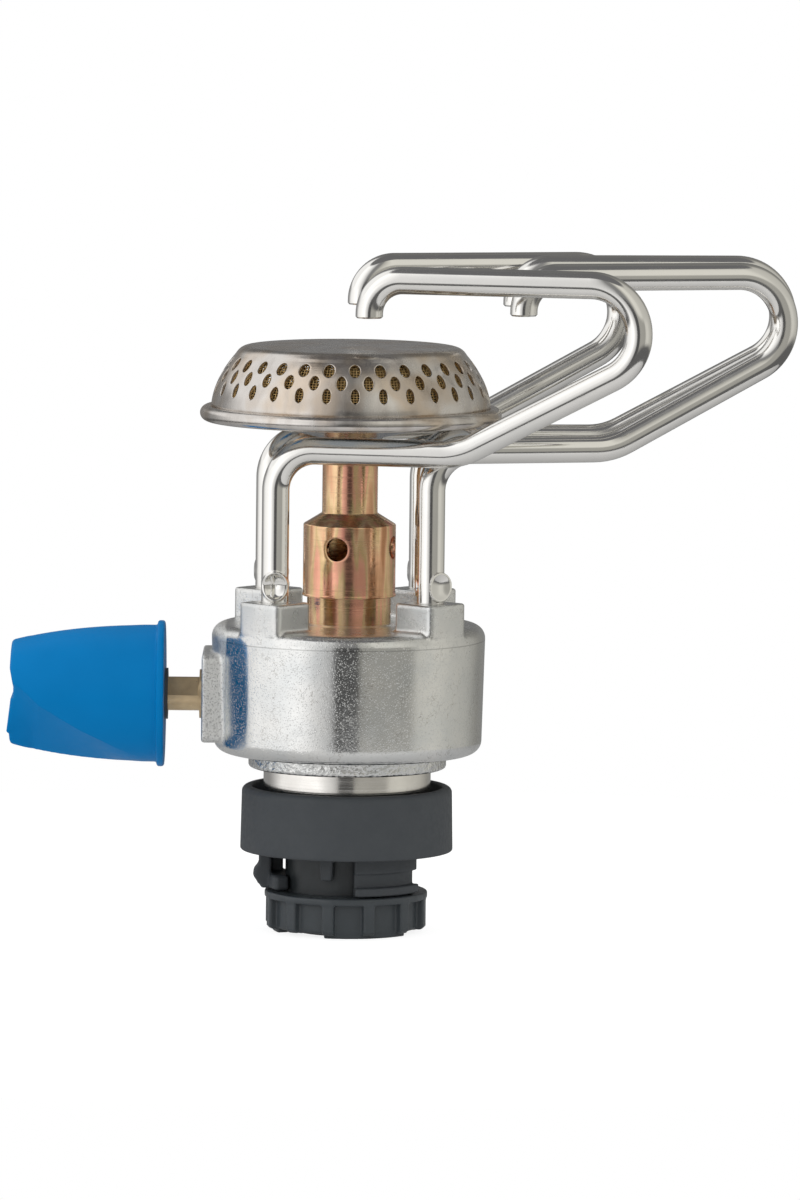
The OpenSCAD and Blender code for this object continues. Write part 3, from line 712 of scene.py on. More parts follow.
def ended(tree, given, geometry):
    """Makes the work real, gives it its material and ends the tree."""
    real = made(tree, "GeometryNodeRealizeInstances", (0, geometry))
    coated = made(tree, "GeometryNodeSetMaterial", ("Geometry", real), ("Material", given["Material"]))
    add(tree, "NodeGroupOutput", (0, coated))
    return tree


def perforated_tree():
    """Repeats one strip of cells round the wall."""
    tree, given = new_tree("perforated_wall", WRAP_SIZES)
    bent = wrapped(tree, given, repeated(tree, given["Geometry"], given["Count"], (1, 0, 0)))
    whole = made(tree, "GeometryNodeMergeByDistance", ("Geometry", bent), ("Distance", WELD_GAP))
    return ended(tree, given, whole)


def gauze_tree():
    """Wire cloth: upright wires and ring wires that pass over and under each other."""
    tree, given = new_tree("wire_cloth", (*WRAP_SIZES, "Rings", "Weave", "Wire Radius"), geometry=False)
    steps, round_steps = [
        plus(tree, times(tree, given[size], 2.0), 1.0) for size in ("Rings", "Count")
    ]
    round_end = made(tree, "CombineXYZ", (0, given["Count"]))
    ring_gap = made(tree, "CombineXYZ", (1, calc(tree, "DIVIDE", 1.0, given["Rings"])))
    ring_count = plus(tree, given["Rings"], 1.0)
    both = add(tree, "GeometryNodeJoinGeometry")
    for end, points, count, gap, side in (
        ((0, 1, 0), steps, given["Count"], (1, 0, 0), 1.0),
        (round_end, round_steps, ring_count, ring_gap, -1.0),
    ):
        wire = made(tree, "GeometryNodeCurvePrimitiveLine", ("Start", (0, 0, 0)), ("End", end))
        wire = made(tree, "GeometryNodeResampleCurve", ("Curve", wire), ("Count", points))
        wires = repeated(tree, wire, count, gap)
        flat = spread(tree, made(tree, "GeometryNodeInputPosition"))
        phase = plus(tree, flat["X"], times(tree, flat["Y"], given["Rings"]))
        wave = calc(tree, "COSINE", times(tree, phase, pi))
        sway = times(tree, times(tree, wave, given["Weave"]), side)
        move = made(tree, "CombineXYZ", (2, sway))
        woven = made(tree, "GeometryNodeSetPosition", ("Geometry", wires), ("Offset", move))
        tree.links.new(woven, both.inputs[0])
    bent = wrapped(tree, given, both.outputs[0])
    ring = made(tree, "GeometryNodeCurvePrimitiveCircle", ("Resolution", 4), ("Radius", given["Wire Radius"]))
    return ended(tree, given, made(
        tree, "GeometryNodeCurveToMesh", ("Curve", bent), ("Profile Curve", ring)
    ))


wrapping = wrap_tree()
perforating = perforated_tree()
weaving = gauze_tree()


def grown(piece, tree, material, **sizes):
    """Runs a tree on the piece with these sizes, and keeps the result as a plain mesh."""
    step = piece.modifiers.new("grow", "NODES")
    step.node_group = tree
    values = {size.replace("_", " "): value for size, value in sizes.items()}
    values["Material"] = material
    for socket in tree.interface.items_tree:
        if socket.in_out == "INPUT" and socket.name in values:
            step[socket.identifier] = values[socket.name]
    bpy.context.view_layer.update()
    graph = bpy.context.evaluated_depsgraph_get()
    mesh = bpy.data.meshes.new_from_object(piece.evaluated_get(graph))
    piece.modifiers.clear()
    piece.data = mesh
    return piece


# Skins: a cast or moulded shape is written as a field, below zero inside, and gets a skin of even quads
def skin(field, low, high, step):
    """Points and quads of the surface where the field is zero, from a grid of that step."""
    axes = [np.arange(a - 2 * step, b + 3 * step, step) for a, b in zip(low, high)]
    values = field(*np.meshgrid(*axes, indexing="ij"))
    inside = values < 0
    corners = [(i, j, k) for i in (0, 1) for j in (0, 1) for k in (0, 1)]
    cells = [n - 1 for n in values.shape]

    def at(corner):
        return tuple(slice(c, c + n) for c, n in zip(corner, cells))

    full = sum(inside[at(corner)].astype(np.int8) for corner in corners)
    active = (full > 0) & (full < len(corners))
    number = np.full(active.shape, -1)
    number[active] = np.arange(active.sum())
    spots = np.argwhere(active)
    total = np.zeros(spots.shape)
    hits = np.zeros(len(spots))
    for a in corners:
        for axis in range(3):
            if a[axis]:
                continue
            b = tuple(c + (i == axis) for i, c in enumerate(a))
            va = values[at(a)][active]
            vb = values[at(b)][active]
            cross = (va < 0) != (vb < 0)
            t = np.where(cross, va / np.where(cross, va - vb, 1), 0)
            total += np.where(cross[:, None], np.array(a) + np.outer(t, np.eye(3)[axis]), 0)
            hits += cross
    points = np.array([axis[0] for axis in axes]) + step * (spots + total / hits[:, None])
    quads = []
    for axis in range(3):
        b, c = (axis + 1) % 3, (axis + 2) % 3
        edges = np.argwhere(np.diff(inside, axis=axis))
        out = inside[tuple(edges.T)]
        ring = []
        for db, dc in ((1, 1), (0, 1), (0, 0), (1, 0)):
            cell = edges.copy()
            cell[:, b] -= db
            cell[:, c] -= dc
            ring.append(number[tuple(cell.T)])
        ring = np.stack(ring, axis=-1)
        quads.append(np.where(out[:, None], ring, ring[:, ::-1]))
    quads = np.concatenate(quads)
    points = settled(field, points, step)
    for _ in range(2):
        points = settled(field, evened(points, quads), step)
    return points, quads.tolist()


def settled(field, points, step, reach=0.02, flattest=0.2):
    """Moves points onto the field's zero, along its slope."""
    for _ in range(3):
        slope = np.stack([
            field(*(points + way).T) - field(*(points - way).T) for way in np.eye(3) * reach
        ], axis=-1) / (2 * reach)
        steep = np.maximum((slope ** 2).sum(axis=1), flattest)
        move = field(*points.T)[:, None] * slope / steep[:, None]
        length = np.maximum(np.linalg.norm(move, axis=1), 1e-9)
        points = points - move * np.minimum(1, 0.5 * step / length)[:, None]
    return points


def evened(points, quads):
    """Moves each point half way to the middle of its neighbours."""
    total = np.zeros(points.shape)
    count = np.zeros(len(points))
    for i in range(4):
        near, far = quads[:, i], quads[:, (i + 1) % 4]
        for a, b in ((near, far), (far, near)):
            np.add.at(total, a, points[b])
            np.add.at(count, a, 1)
    return points + 0.5 * (total / count[:, None] - points)


def join(a, b, fillet):
    """Two fields as one, with a fillet between them."""
    h = np.clip(0.5 + 0.5 * (b - a) / fillet, 0, 1)
    return b + (a - b) * h - fillet * h * (1 - h)


def trim(a, b, edge):
    """What of one field lies outside another, with its edge broken."""
    return -join(-a, b, edge)


def meet(a, b, edge):
    """What lies inside both fields, with its edge broken."""
    return -join(-a, -b, edge)


def rounded(dx, dy, edge):
    """A corner of that rounding where two distances meet."""
    px, py = dx + edge, dy + edge
    return np.hypot(np.maximum(px, 0), np.maximum(py, 0)) + np.minimum(np.maximum(px, py), 0) - edge


def slab(value, low, high):
    """A flat layer from low to high."""
    return np.abs(value - (low + high) / 2) - (high - low) / 2


def disc(out, z, radius, low, high, edge, foot_edge=None):
    """A round disc from one height to another, with rounded edges."""
    corner = np.where(z > (low + high) / 2, edge, edge if foot_edge is None else foot_edge)
    return rounded(out - radius, slab(z, low, high), corner)


def block(u, v, z, half_u, half_v, low, high, corner, edge):
    """A block with rounded upright corners and rounded edges."""
    flat = rounded(np.abs(u) - half_u, np.abs(v) - half_v, corner)
    return rounded(flat, slab(z, low, high), edge)


def off(angle, middle, period):
    """How far an angle is from a middle that comes back after each period."""
    return (angle - middle + period / 2) % period - period / 2


def skin_piece(name, field, low, high, step, material):
    points, quads = skin(field, low, high, step)
    return new_piece(name, points, quads, material, crease=60)


# Valve body
legs = [joint_place[f"arm_{arm}"] for arm in button_ways]


def casting(x, y, z):
    """A round block with two flats, a flange, a hub, a drilled boss for each leg and the valve pad."""
    out = np.hypot(x, y)
    draft = draft_slope * np.clip(body_top - z, 0, body_h)
    shape = disc(out + draft, z, body_r, body_z, body_top, top_edge_r, foot_edge_r)
    for side in (1, -1):
        flat = -flat_side[0] * x + side * flat_side[1] * y - flat_reach + draft
        shape = meet(shape, flat, flat_edge)
    shape = join(shape, disc(out, z, flange_r, flange_z, body_z + overlap, cast_edge), cast_edge)
    shape = join(shape, disc(out, z, hub_r, body_top - overlap, hub_top, hub_edge), boss_fillet)
    for leg in legs:
        reach = hypot(leg[0], leg[1])
        along, across = leg[0] / reach, leg[1] / reach
        u = x * along + y * across - reach
        v = y * along - x * across
        boss = block(u, v, z, boss_w / 2, boss_w / 2, body_top - boss_root, boss_top, boss_corner, cast_edge)
        sunk = boss_inset + boss_lean * np.maximum(0, body_top - cast_edge - z)
        boss = meet(boss, out + draft - body_r + sunk, cast_edge)
        shape = join(shape, boss, boss_fillet)
    pad = block(z - valve_z, y, x, pad_h / 2, pad_w / 2, pad_face, pad_root, pad_corner, cast_edge)
    shape = join(shape, pad, cast_edge)
    for leg in legs:
        hole = np.maximum(np.hypot(x - leg[0], y - leg[1]) - leg_hole, boss_top - leg_sink - z)
        shape = trim(shape, hole, leg_hole_edge)
    return shape


body_side = body_r + 0.5
fitted(skin_piece(
    "valve_casting", casting, (pad_face, -body_side, flange_z), (body_side, body_side, boss_top),
    step=0.36, material=zinc,
), "stove", "cast_zinc", "valve_body")

neck_root = flange_z + 0.3
neck_profile = eased(
    [(stem_r, neck_z), (neck_r, neck_z, 0.5), (neck_r, neck_root), (stem_r, neck_root)], 0.2, closed=True
)
fitted(turned_piece("valve_neck", neck_profile, turned_zinc), "stove", "cast_zinc")

# Mixer tube
air_low = air_hole_z - air_band / 2
air_top = air_low + air_band
air_cell = 2 * pi * sleeve_r / air_holes
air_steps = 24
air_strip = flat_strip(
    ((0.5, 0.0, air_hole_d / 2 / air_cell, air_hole_d / 2 / air_band),),
    0.0, 1.0, across=air_steps, upright=10, thickness=tube_wall, lip=0.09,
)
air_wall = grown(
    shown("air_wall", *air_strip), perforating, chromate, Count=float(air_holes), Turn=radians(air_turn),
    Low=air_low * MM, Rise=air_band * MM, Foot_Radius=sleeve_r * MM, Top_Radius=sleeve_r * MM,
    Bow=0.0, Lean=0.0,
)
inner = sleeve_r - tube_wall
riser_inner = riser_r - tube_wall
rim_r = sleeve_r + 0.12
gas_way_r = stem_r - 3.5
tube_foot = eased([
    (sleeve_r, air_low), (sleeve_r, collar_top + 0.5, 0.15), (rim_r, collar_top + 0.35, 0.1),
    (rim_r, collar_top, 0.15), (collar_r, collar_top, 0.12), (collar_r, hub_top, 0.15),
    (gas_way_r, hub_top), (gas_way_r, collar_top), (inner, collar_top + tube_wall), (inner, air_low),
], 0.2)
tube_head = eased([
    (sleeve_r, air_top), (sleeve_r, sleeve_top, 0.22), (riser_r, cone_top, 0.25),
    (riser_r, tube_high[2], 0.2), (riser_inner, tube_high[2], 0.2), (riser_inner, cone_top - tube_wall),
    (inner, sleeve_top - tube_wall), (inner, air_top),
], 0.2)
tube_parts = [air_wall] + [
    turned_piece(name, profile, chromate, air_steps * air_holes, closed=False, turn=air_turn)
    for name, profile in (("tube_foot", tube_foot), ("tube_head", tube_head))
]
tube = joined("mixer_tube_shell", tube_parts, chromate, crease=30)
fitted(tube, "stove", "chromate_steel", "mixer_tube")


# Burner
def wall(t, depth=0.0):
    """A point of the cap's curved wall at a share of its height, so deep in the sheet."""
    share = wall_bow * t * t + (1 - wall_bow) * t
    radius = cap_wall_r + (cap_edge_r - cap_wall_r) * share
    height = rim_z + wall_low + wall_rise * t
    return radius - depth * cos(wall_lean), height - depth * sin(wall_lean)


flame_steps = 8
flame_cells = []
for height, shift, width, tall in flame_rows:
    cell_w = 2 * pi * wall(height)[0] / flame_count
    flame_cells.append((height, shift, width / 2 / cell_w, tall / 2 / wall_slope))
flame_strip = flat_strip(
    flame_cells, band_low, band_high, across=flame_steps, upright=4, thickness=sheet, lip=0.12
)
flame_wall = grown(
    shown("flame_wall", *flame_strip), perforating, stainless, Count=float(flame_count),
    Turn=radians(flame_turn), Low=(rim_z + wall_low) * MM, Rise=wall_rise * MM,
    Foot_Radius=cap_wall_r * MM, Top_Radius=cap_edge_r * MM, Bow=wall_bow, Lean=wall_lean,
)

bead_arc = [
    (bead_ring_r + bead_r * cos(radians(a)), rim_z + bead_r * sin(radians(a)))
    for a in range(125, -166, -10)
]
bead_inner = bead_ring_r - bead_r
foot_wall = [wall(band_low * (1 - i / 4)) for i in range(5)]
hollow_wall = [wall(band_low * i / 4, sheet) for i in range(5)]
cap_foot = foot_wall + [(cap_wall_r + 0.02, rim_z + 1.6)] + bead_arc
cap_foot += [(bead_inner, rim_z - 0.2), (bead_inner, rim_z + 1.0)] + hollow_wall
edge_start, edge_turn, edge_stop = [
    np.array(point) for point in (wall(0.95), (cap_edge_r - 0.45, cap_top), (cap_top_r - 0.9, cap_top))
]
cap_head = [wall(band_high)] + [
    tuple(edge_start * (1 - t) ** 2 + 2 * t * (1 - t) * edge_turn + t * t * edge_stop)
    for t in np.linspace(0, 1, 9)
]
cap_head += [(cap_top_r * share, cap_top) for share in (0.75, 0.5, 0.25, 0.0)]
roof_z = cap_top - sheet
cap_roof = [wall(band_high, sheet), (cap_edge_r - 1.2, roof_z - 0.5), (cap_top_r - 1.4, roof_z)]
cap_roof += [(cap_top_r * share, roof_z) for share in (0.5, 0.0)]
cap_parts = [flame_wall] + [
    turned_piece(name, profile, stainless, flame_count * flame_steps, closed=False, turn=flame_turn)
    for name, profile in (("cap_foot", cap_foot), ("cap_head", cap_head), ("cap_roof", cap_roof))
]
cap = joined("burner_cap_shell", cap_parts, stainless, crease=34)
fitted(cap, "stove", "stainless", "burner_cap")

gauze_inset = sheet + 0.32
gauze_foot, gauze_head = wall(band_low, gauze_inset), wall(band_high, gauze_inset)
gauze = grown(
    shown("burner_gauze"), weaving, gauze_wire, Count=250.0, Turn=radians(90), Rings=16.0,
    Weave=0.1 * MM, Wire_Radius=0.12 * MM, Low=gauze_foot[1] * MM,
    Rise=wall_rise * (band_high - band_low) * MM, Foot_Radius=gauze_foot[0] * MM,
    Top_Radius=gauze_head[0] * MM, Bow=wall_bow, Lean=wall_lean,
)
welded(gauze, crease=180)
fitted(gauze, "stove", "wire_cloth", "burner_mesh")

bowl_hole = riser_r + 0.05
bowl_collar = bowl_hole + sheet
bowl_bend = riser_r + 7.5
bowl_edge = bead_ring_r - 2.7
bowl_line = [
    (bowl_hole, bowl_foot), (bowl_collar, bowl_foot, 0.2), (bowl_collar, rim_z - 4.25, 1.5),
    (bowl_bend, rim_z - 2.75, 5), (bowl_edge, rim_z - 0.4, 2), (bead_ring_r, rim_z - 0.4),
    (bead_ring_r, rim_z + 0.35), (bowl_edge, rim_z + 0.4, 2), (bowl_bend, rim_z - 1.95, 5),
    (bowl_hole, rim_z - 3.45),
]
bowl = turned_piece("burner_bowl_shell", eased(bowl_line, 0.1, steps=6, closed=True), heated_steel)
fitted(bowl, "stove", "stainless", "burner_bowl")


# Arms
def arc(centre, radius, start, stop, step=4.0):
    """Points round a bend, in the plane of the arm, from one angle to another in degrees."""
    count = max(2, int(abs(stop - start) / step))
    angles = np.radians(np.linspace(start, stop, count + 1))
    return [(centre[0] + radius * cos(a), centre[1] + radius * sin(a)) for a in angles]


def arm_line(foot_z, top_z, reach):
    """The rod's middle line: distance from the leg, and height."""
    top_run = top_z - rod_r
    loop_s, loop_z = reach - rod_r - loop_r, top_run - loop_r
    slant_end = (loop_s + loop_r * sin(slant), loop_z - loop_r * cos(slant))
    knee_s = slant_end[0] - (slant_end[1] - run_z) / tan(slant)
    run_end = knee_s - knee_r * tan(slant / 2)
    lean = degrees(slant)
    line = [(0, foot_z), (0, foot_z + 0.4)]
    line += [(0, z) for z in np.arange(boss_top - 0.5, boss_top + ear_rise + ear_r + 1, 0.1)]
    hook = (hook_reach + hook_r, top_run - hook_r)
    for centre, radius, start, stop in (
        ((bend_r, run_z - bend_r), bend_r, 180, 90), ((run_end, run_z + knee_r), knee_r, -90, lean - 90),
        ((loop_s, loop_z), loop_r, lean - 90, 90), (hook, hook_r, 90, 180),
    ):
        line += arc(centre, radius, start, stop)
    tip = hook[1] - hook_tip
    return line + [(hook_reach, tip + 0.3), (hook_reach, tip)]


def leg_radius(z, away):
    """The leg's radius where it is staked: a round button to one side, and a ridged dish to the other."""
    rise = z - boss_top - ear_rise
    ahead = np.abs(off(np.degrees(away), 0, 360))
    tilt = np.radians(np.minimum(ahead, 60))
    from_mid = np.hypot(button_out * np.tan(tilt), rise)
    edge = np.clip((ear_r - from_mid) / button_edge, 0, 1)
    face = button_out / np.cos(tilt) - button_edge * (1 - np.sqrt(edge * (2 - edge)))
    face = face - button_dip * np.clip(1 - (from_mid / (ear_r - button_dip)) ** 2, 0, 1)
    across = np.where(ahead > 90, -rod_r * np.sin(away), 9.0)
    dish = np.hypot(across / dish_wide, rise / dish_tall)
    rim = dish_rim * np.exp(-((dish - dish_rim_at) / dish_rim_wide) ** 2)
    ridge = ridge_h * np.exp(-((across - ridge_at) / ridge_wide) ** 2)
    plain = rod_r + rim - (dish_depth - ridge) * np.clip(1 - dish ** 2, 0, 1)
    return np.where(from_mid < ear_r, face, plain)


def arm_piece(name, node, body, button_way):
    """A rod along the arm's line, turned to where the CAD arm points."""
    leg = joint_place[body]
    low, high = span(node)
    around = np.array([vert.co[:2] for vert in frame["nodes"][node].data.vertices]) / MM - leg[:2]
    far = np.linalg.norm(around, axis=1)
    reach = far.max()
    heading = around[far > reach - 0.02].mean(axis=0)
    heading = heading / np.linalg.norm(heading)
    button_turn = pi + atan2(heading[1], heading[0]) - radians(button_way)
    line = np.array(arm_line(low[2], high[2], reach))
    last = len(line) - 1
    turn = np.arange(rod_sides) * 2 * pi / rod_sides
    rings = []
    for i, (s, z) in enumerate(line):
        way = line[min(i + 1, last)] - line[max(i - 1, 0)]
        way = way / np.linalg.norm(way)
        staked = s == 0 and z > boss_top
        radius = leg_radius(z, turn - button_turn) if staked else np.full(rod_sides, rod_r)
        if i in (0, last):
            radius = radius - rod_end_edge
        offset = radius * np.cos(turn)
        out = s - way[1] * offset
        ring = np.stack([out * heading[0], out * heading[1], z + way[0] * offset], axis=-1)
        rings.append(ring + np.outer(radius * np.sin(turn), (-heading[1], heading[0], 0)))
    poles = [[(s * heading[0], s * heading[1], z)] for s, z in (line[0], line[last])]
    points = np.concatenate(rings + poles)
    points[:, :2] += leg[:2]
    faces = ring_faces(len(rings), rod_sides)
    for ring, pole in ((0, len(points) - 2), (last, len(points) - 1)):
        start = ring * rod_sides
        faces += [(start + j, start + (j + 1) % rod_sides, pole) for j in range(rod_sides)]
    piece = new_piece(name, points, faces, plating, crease=40)
    return fitted(piece, body, "arm_steel", node)


for arm, button_way in button_ways.items():
    arm_piece(f"{arm}_rod", f"{arm}_arm", f"arm_{arm}", button_way)


# Connector
def shroud_field(x, y, z):
    """A ring with its bores, two claws, the hook claw with its nose, and a tab."""
    out = np.hypot(x, y)
    turn = np.degrees(np.arctan2(y, x))
    up, ahead = z - claw_z, -x - claw_out
    draft = shroud_r + shroud_flare - shroud_draft * (z - shroud_z)
    shape = disc(out - draft + shroud_r, z, shroud_r, shroud_z, shroud_top, 1.1, 0.35)
    for bore, cut, edge in (
        (shroud_bore, neck_z - z, mould_edge),
        (shroud_bore, np.abs(z - (shroud_z + groove_rise)) - groove_half, 0.2),
        (claw_r - 0.1, z - shroud_z - seat_rise, 0.2), (stem_r, shroud_z + stem_rise - z, 0.2),
    ):
        shape = trim(shape, np.maximum(out - bore, cut), edge)

    def claw_slab(thinner):
        return np.abs(out - (claw_r + claw_out - thinner) / 2) - (claw_wall - thinner) / 2

    for place in claw_places:
        ends = np.radians(np.abs(off(turn, place, 360)) - claw_half) * claw_mid
        post = rounded(claw_slab(claw_post), claw_z + post_rise - z, mould_edge)
        lip = rounded(claw_slab(0), np.abs(up - lip_half) - lip_half, 0.25)
        waist = np.maximum(claw_slab(claw_waist), claw_z - z)
        claw = join(join(post, lip, mould_edge), waist, mould_edge)
        claw = meet(claw, np.maximum(ends, z - shroud_z - 1), 0.35)
        shape = join(shape, claw, 0.35)
    swing = np.abs(off(turn, hook_place, 360))
    tall = np.abs(up - finger_half) - finger_half
    finger = rounded(np.abs(out - claw_mid) - claw_wall / 2, tall, 0.7)
    finger = rounded(finger, np.radians(swing - hook_half) * claw_mid, 0.8)
    prop = block(x + 13, y - 4.5, z, 1.3, 2.5, claw_z, shroud_z + 1, mould_edge, mould_edge)
    finger = join(finger, prop, mould_edge)
    stalk = np.maximum(np.abs(x + claw_out + 0.6) - 1.1, np.abs(z - shroud_z + 2.5) - 3.5)
    above = 0.76 * (ahead - 1.7) + 0.65 * (up - 4.5)
    below = 0.81 * (ahead - 2.9) - 0.59 * (up - 2.6)
    nose = np.maximum(meet(above, below, 1.2), np.maximum(x + claw_out - 0.5, claw_z + 0.1 - z))
    shape = join(shape, rounded(join(stalk, nose, 0.5), np.abs(y) - nose_half, 0.5), mould_edge)
    shape = join(shape, finger, 0.4)
    u = x * cos(tab_turn) + y * sin(tab_turn)
    v = y * cos(tab_turn) - x * sin(tab_turn)
    narrowed = v * (1 + 0.06 * (shroud_z - z))
    tab = block(u - claw_r - 1, narrowed, z, 0.7, 1.3, shroud_z - 4.5, shroud_z + 1, mould_edge, 0.6)
    return join(shape, tab, mould_edge)


shroud_side = shroud_r + 0.5
fitted(skin_piece(
    "shroud_ring", shroud_field, (-shroud_side, -shroud_side, claw_z), (shroud_side, shroud_side, shroud_top),
    step=0.27, material=grey_plastic,
), "stove", "grey_plastic", "connector_shroud")


def wheel_field(x, y, z):
    """A drum with a rim, ribs, feet and a stepped bore."""
    out = np.hypot(x, y)
    turn = np.arctan2(y, x)
    shape = disc(out, z, wheel_recess, wheel_foot, wheel_top, mould_edge, 0.6)
    rim = disc(out, z, wheel_r, wheel_top - wheel_rim_h, wheel_top, wheel_edge)
    shape = join(shape, rim, wheel_edge)
    near = off(turn, rib_turn, 2 * pi / rib_count)
    along = out * np.cos(near)
    chamfer = (along - wheel_r + 0.6 + wheel_foot - z) / sqrt(2)
    across = np.abs(out * np.sin(near)) - rib_half
    rib = rounded(np.maximum(along - wheel_r + 0.05, chamfer), across, wheel_edge)
    rib = np.maximum(rib, np.maximum(wheel_foot - z, z - wheel_top + rib_top))
    shape = join(shape, np.maximum(rib, rib_root - out), wheel_edge)
    foot_near = np.abs(off(turn, foot_turn, 2 * pi / foot_count))
    foot = rounded(out - wheel_recess + 0.1, (foot_near - foot_half) * foot_r, mould_edge)
    foot = rounded(foot, np.abs(z - foot_half_h) - foot_half_h, 0.25)
    shape = join(shape, foot, 0.25)
    shape = trim(shape, out - wheel_bore, 0.2)
    return trim(shape, np.maximum(out - wheel_seat, z - wheel_seat_z), 0.2)


wheel_side = wheel_r + 0.3
fitted(skin_piece(
    "lock_wheel_rim", wheel_field, (-wheel_side, -wheel_side, 0), (wheel_side, wheel_side, wheel_top),
    step=0.21, material=black_plastic,
), "lock_wheel", "black_plastic", "coupling_wheel")


# Knob
def knob_field(x, y, z):
    """A tapered barrel with a lip at its back, and a hollow on each side along a twisted crease."""
    out = -x - knob_back
    up = z - valve_z
    across = np.hypot(up, y)
    t = np.clip((out - barrel_start) / barrel_len, 0, 1)
    barrel = knob_r * np.sqrt(1 - t ** 2 * (1 - (knob_end_r / knob_r) ** 2))
    crease = np.interp(out, crease_out, crease_turn)
    wide = np.minimum(90 - crease, widest_hollow)
    hollow = 0
    for side in (1, -1):
        below = (np.degrees(np.arctan2(-up * side, -y * side)) - crease) % 360
        tilt = np.radians(np.minimum(below, wide) - wide / 2)
        chord = 1 - np.cos(np.radians(wide / 2)) / np.cos(tilt)
        hollow = hollow + barrel * chord * np.clip((out - hollow_start) / hollow_grow, 0, 1)
    end = knob_len - np.interp(up, end_up, end_cut)
    shape = rounded(across - barrel + hollow, out - end, 0.6)
    shape = np.maximum(shape, 0.4 - out)
    shape = join(shape, disc(across, out, knob_lip, 0, knob_lip_h, 0.5), 0.35)
    return trim(shape, np.maximum(across - knob_bore, out - knob_bore_len), 0.2)


fitted(skin_piece(
    "control_knob_shell", knob_field, (knob_low[0], -knob_lip, valve_z - knob_lip),
    (knob_high[0], knob_lip, valve_z + knob_lip), step=0.26, material=blue_plastic,
), "knob", "blue_plastic", "control_knob")

# Pieces that keep their CAD shape
for material, nodes in (
    (brass, ("gas_jet", "gland_nut", "valve_spindle", "inlet_probe")),
    (sinter, ("jet_filter", "inlet_filter")),
    (rubber, ("gland_o_ring", "inlet_seal")),
    (black_plastic, ("knob_bush",)),
    # The drum takes the black moulding with painted shade.
    (shaded_drum_plastic, ("coupling_core",)),
    (spring_steel, ("leg_snap_rings", "wheel_circlip")),
):
    for node in nodes:
        frame["nodes"][node].data.materials.clear()
        frame["nodes"][node].data.materials.append(material)

# Camera, at the photograph's angle, for a frame of 800 by 1200 pixels
view_target = Vector((9.39, 0, 61.22)) * MM
view_rise = radians(5.641)
view_roll = radians(0.632)
view_distance = 1825.9 * MM
focal_pixels = 9929
frame_tall = 1200
camera_data = bpy.data.cameras.new("camera")
camera_data.sensor_width = 36
camera_data.lens = camera_data.sensor_width * focal_pixels / frame_tall
camera = bpy.data.objects.new("camera", camera_data)
back = Vector((0, -cos(view_rise), sin(view_rise)))
camera.location = view_target + back * view_distance
camera.rotation_mode = "QUATERNION"
level_turn = (-back).to_track_quat("-Z", "Y")
camera.rotation_quaternion = level_turn @ Matrix.Rotation(view_roll, 3, "Z").to_quaternion()
camera_data.clip_start = 0.05
camera_data.clip_end = 100
scene.collection.objects.link(camera)
scene.camera = camera

# Floor and world
floor_r = 0.22
floor_sides = 128
floor_glow = 0.86
floor_pale, floor_shade = (0.80, 0.80, 0.79, 1), (0.24, 0.24, 0.24, 1)
white_light = (1, 1, 1, 1)
mirrored_near, mirrored_far, mirrored_reach = 0.42, 0.10, 110


def floor_material():
    """Pale in plain light; it glows to the camera, less to the metal, and keeps the shadow in both."""
    material, tree = new_material("pale_floor")
    tree.nodes.clear()
    path = add(tree, "LightPath").outputs
    looked = calc(tree, "MAXIMUM", path["Is Camera Ray"], path["Is Transmission Ray"])
    seen = calc(tree, "MAXIMUM", looked, path["Is Glossy Ray"])
    plain = made(tree, "BsdfDiffuse", ("Color", floor_pale))
    shade = made(tree, "BsdfDiffuse", ("Color", floor_shade))
    depth = height_above(tree, "Y")
    mirrored = ramp(tree, depth, -mirrored_reach, mirrored_reach, mirrored_near, mirrored_far)
    level = ramp(tree, looked, 0, 1, mirrored, floor_glow)
    glow = made(tree, "Emission", ("Color", white_light), ("Strength", level))
    both = made(tree, "AddShader", (0, shade), (1, glow))
    mix = made(tree, "MixShader", (0, seen), (1, plain), (2, both))
    add(tree, "OutputMaterial", ("Surface", mix))
    return material


floor_turns = [2 * pi * i / floor_sides for i in range(floor_sides)]
floor_points = [(floor_r * cos(a), floor_r * sin(a), 0) for a in floor_turns]
floor = shown("floor", floor_points, [tuple(range(floor_sides))], floor_material())

# Cards round the object, from behind it past its left side, the camera and its right side: angle and light
low_cards = (
    (-180, 0.24), (-136, 0.28), (-126, 0.38), (-114, 0.66), (-104, 0.94), (-92, 1.05), (-72, 1.14),
    (-56, 1.24), (-42, 1.28), (-35, 1.12), (-28, 0.86), (-18, 0.66), (-12.5, 0.45), (-10.5, 0.09),
    (8.5, 0.09), (10.5, 0.35), (20, 0.39), (54, 0.37), (57, 0.46), (62, 0.64), (78, 0.68), (100, 0.56),
    (122, 0.48), (142, 0.28), (180, 0.24),
)
high_cards = (
    (-180, 0.15), (-156, 0.20), (-140, 1.00), (-60, 1.25), (-36, 1.02), (-18, 0.66), (-11, 0.42), (-6, 0.24),
    (6, 0.24), (12, 0.46), (26, 0.78), (46, 0.74), (62, 0.60), (120, 0.52), (140, 0.25), (180, 0.15),
)
warm_side, warm_from, warm_to = (1.0, 0.985, 0.91), 9, 150
ceiling_light = (0.15, 0.15, 0.155)
under_light = (0.12, 0.12, 0.12)
under_rise, high_rise, ceiling_rise = (-0.28, -0.18), (0.16, 0.34), (0.86, 0.91)
plain_left, plain_right = (1.22, 1.22, 1.22), (0.86, 0.86, 0.85)
plain_low, plain_high = 0.45, 1.12
studio_level = 1.5
cards_r = 3.0
cards_z = 0.06
card_step = 4
card_rows = (-0.999, -0.28, -0.18, 0.0, 0.34, 0.6, 0.86, 0.999)
no_gap, open_low, open_high = (0, 0), (-104, -92), (-140, -84)
row_gaps = (no_gap, no_gap, open_low, open_low, open_high, open_high, no_gap)


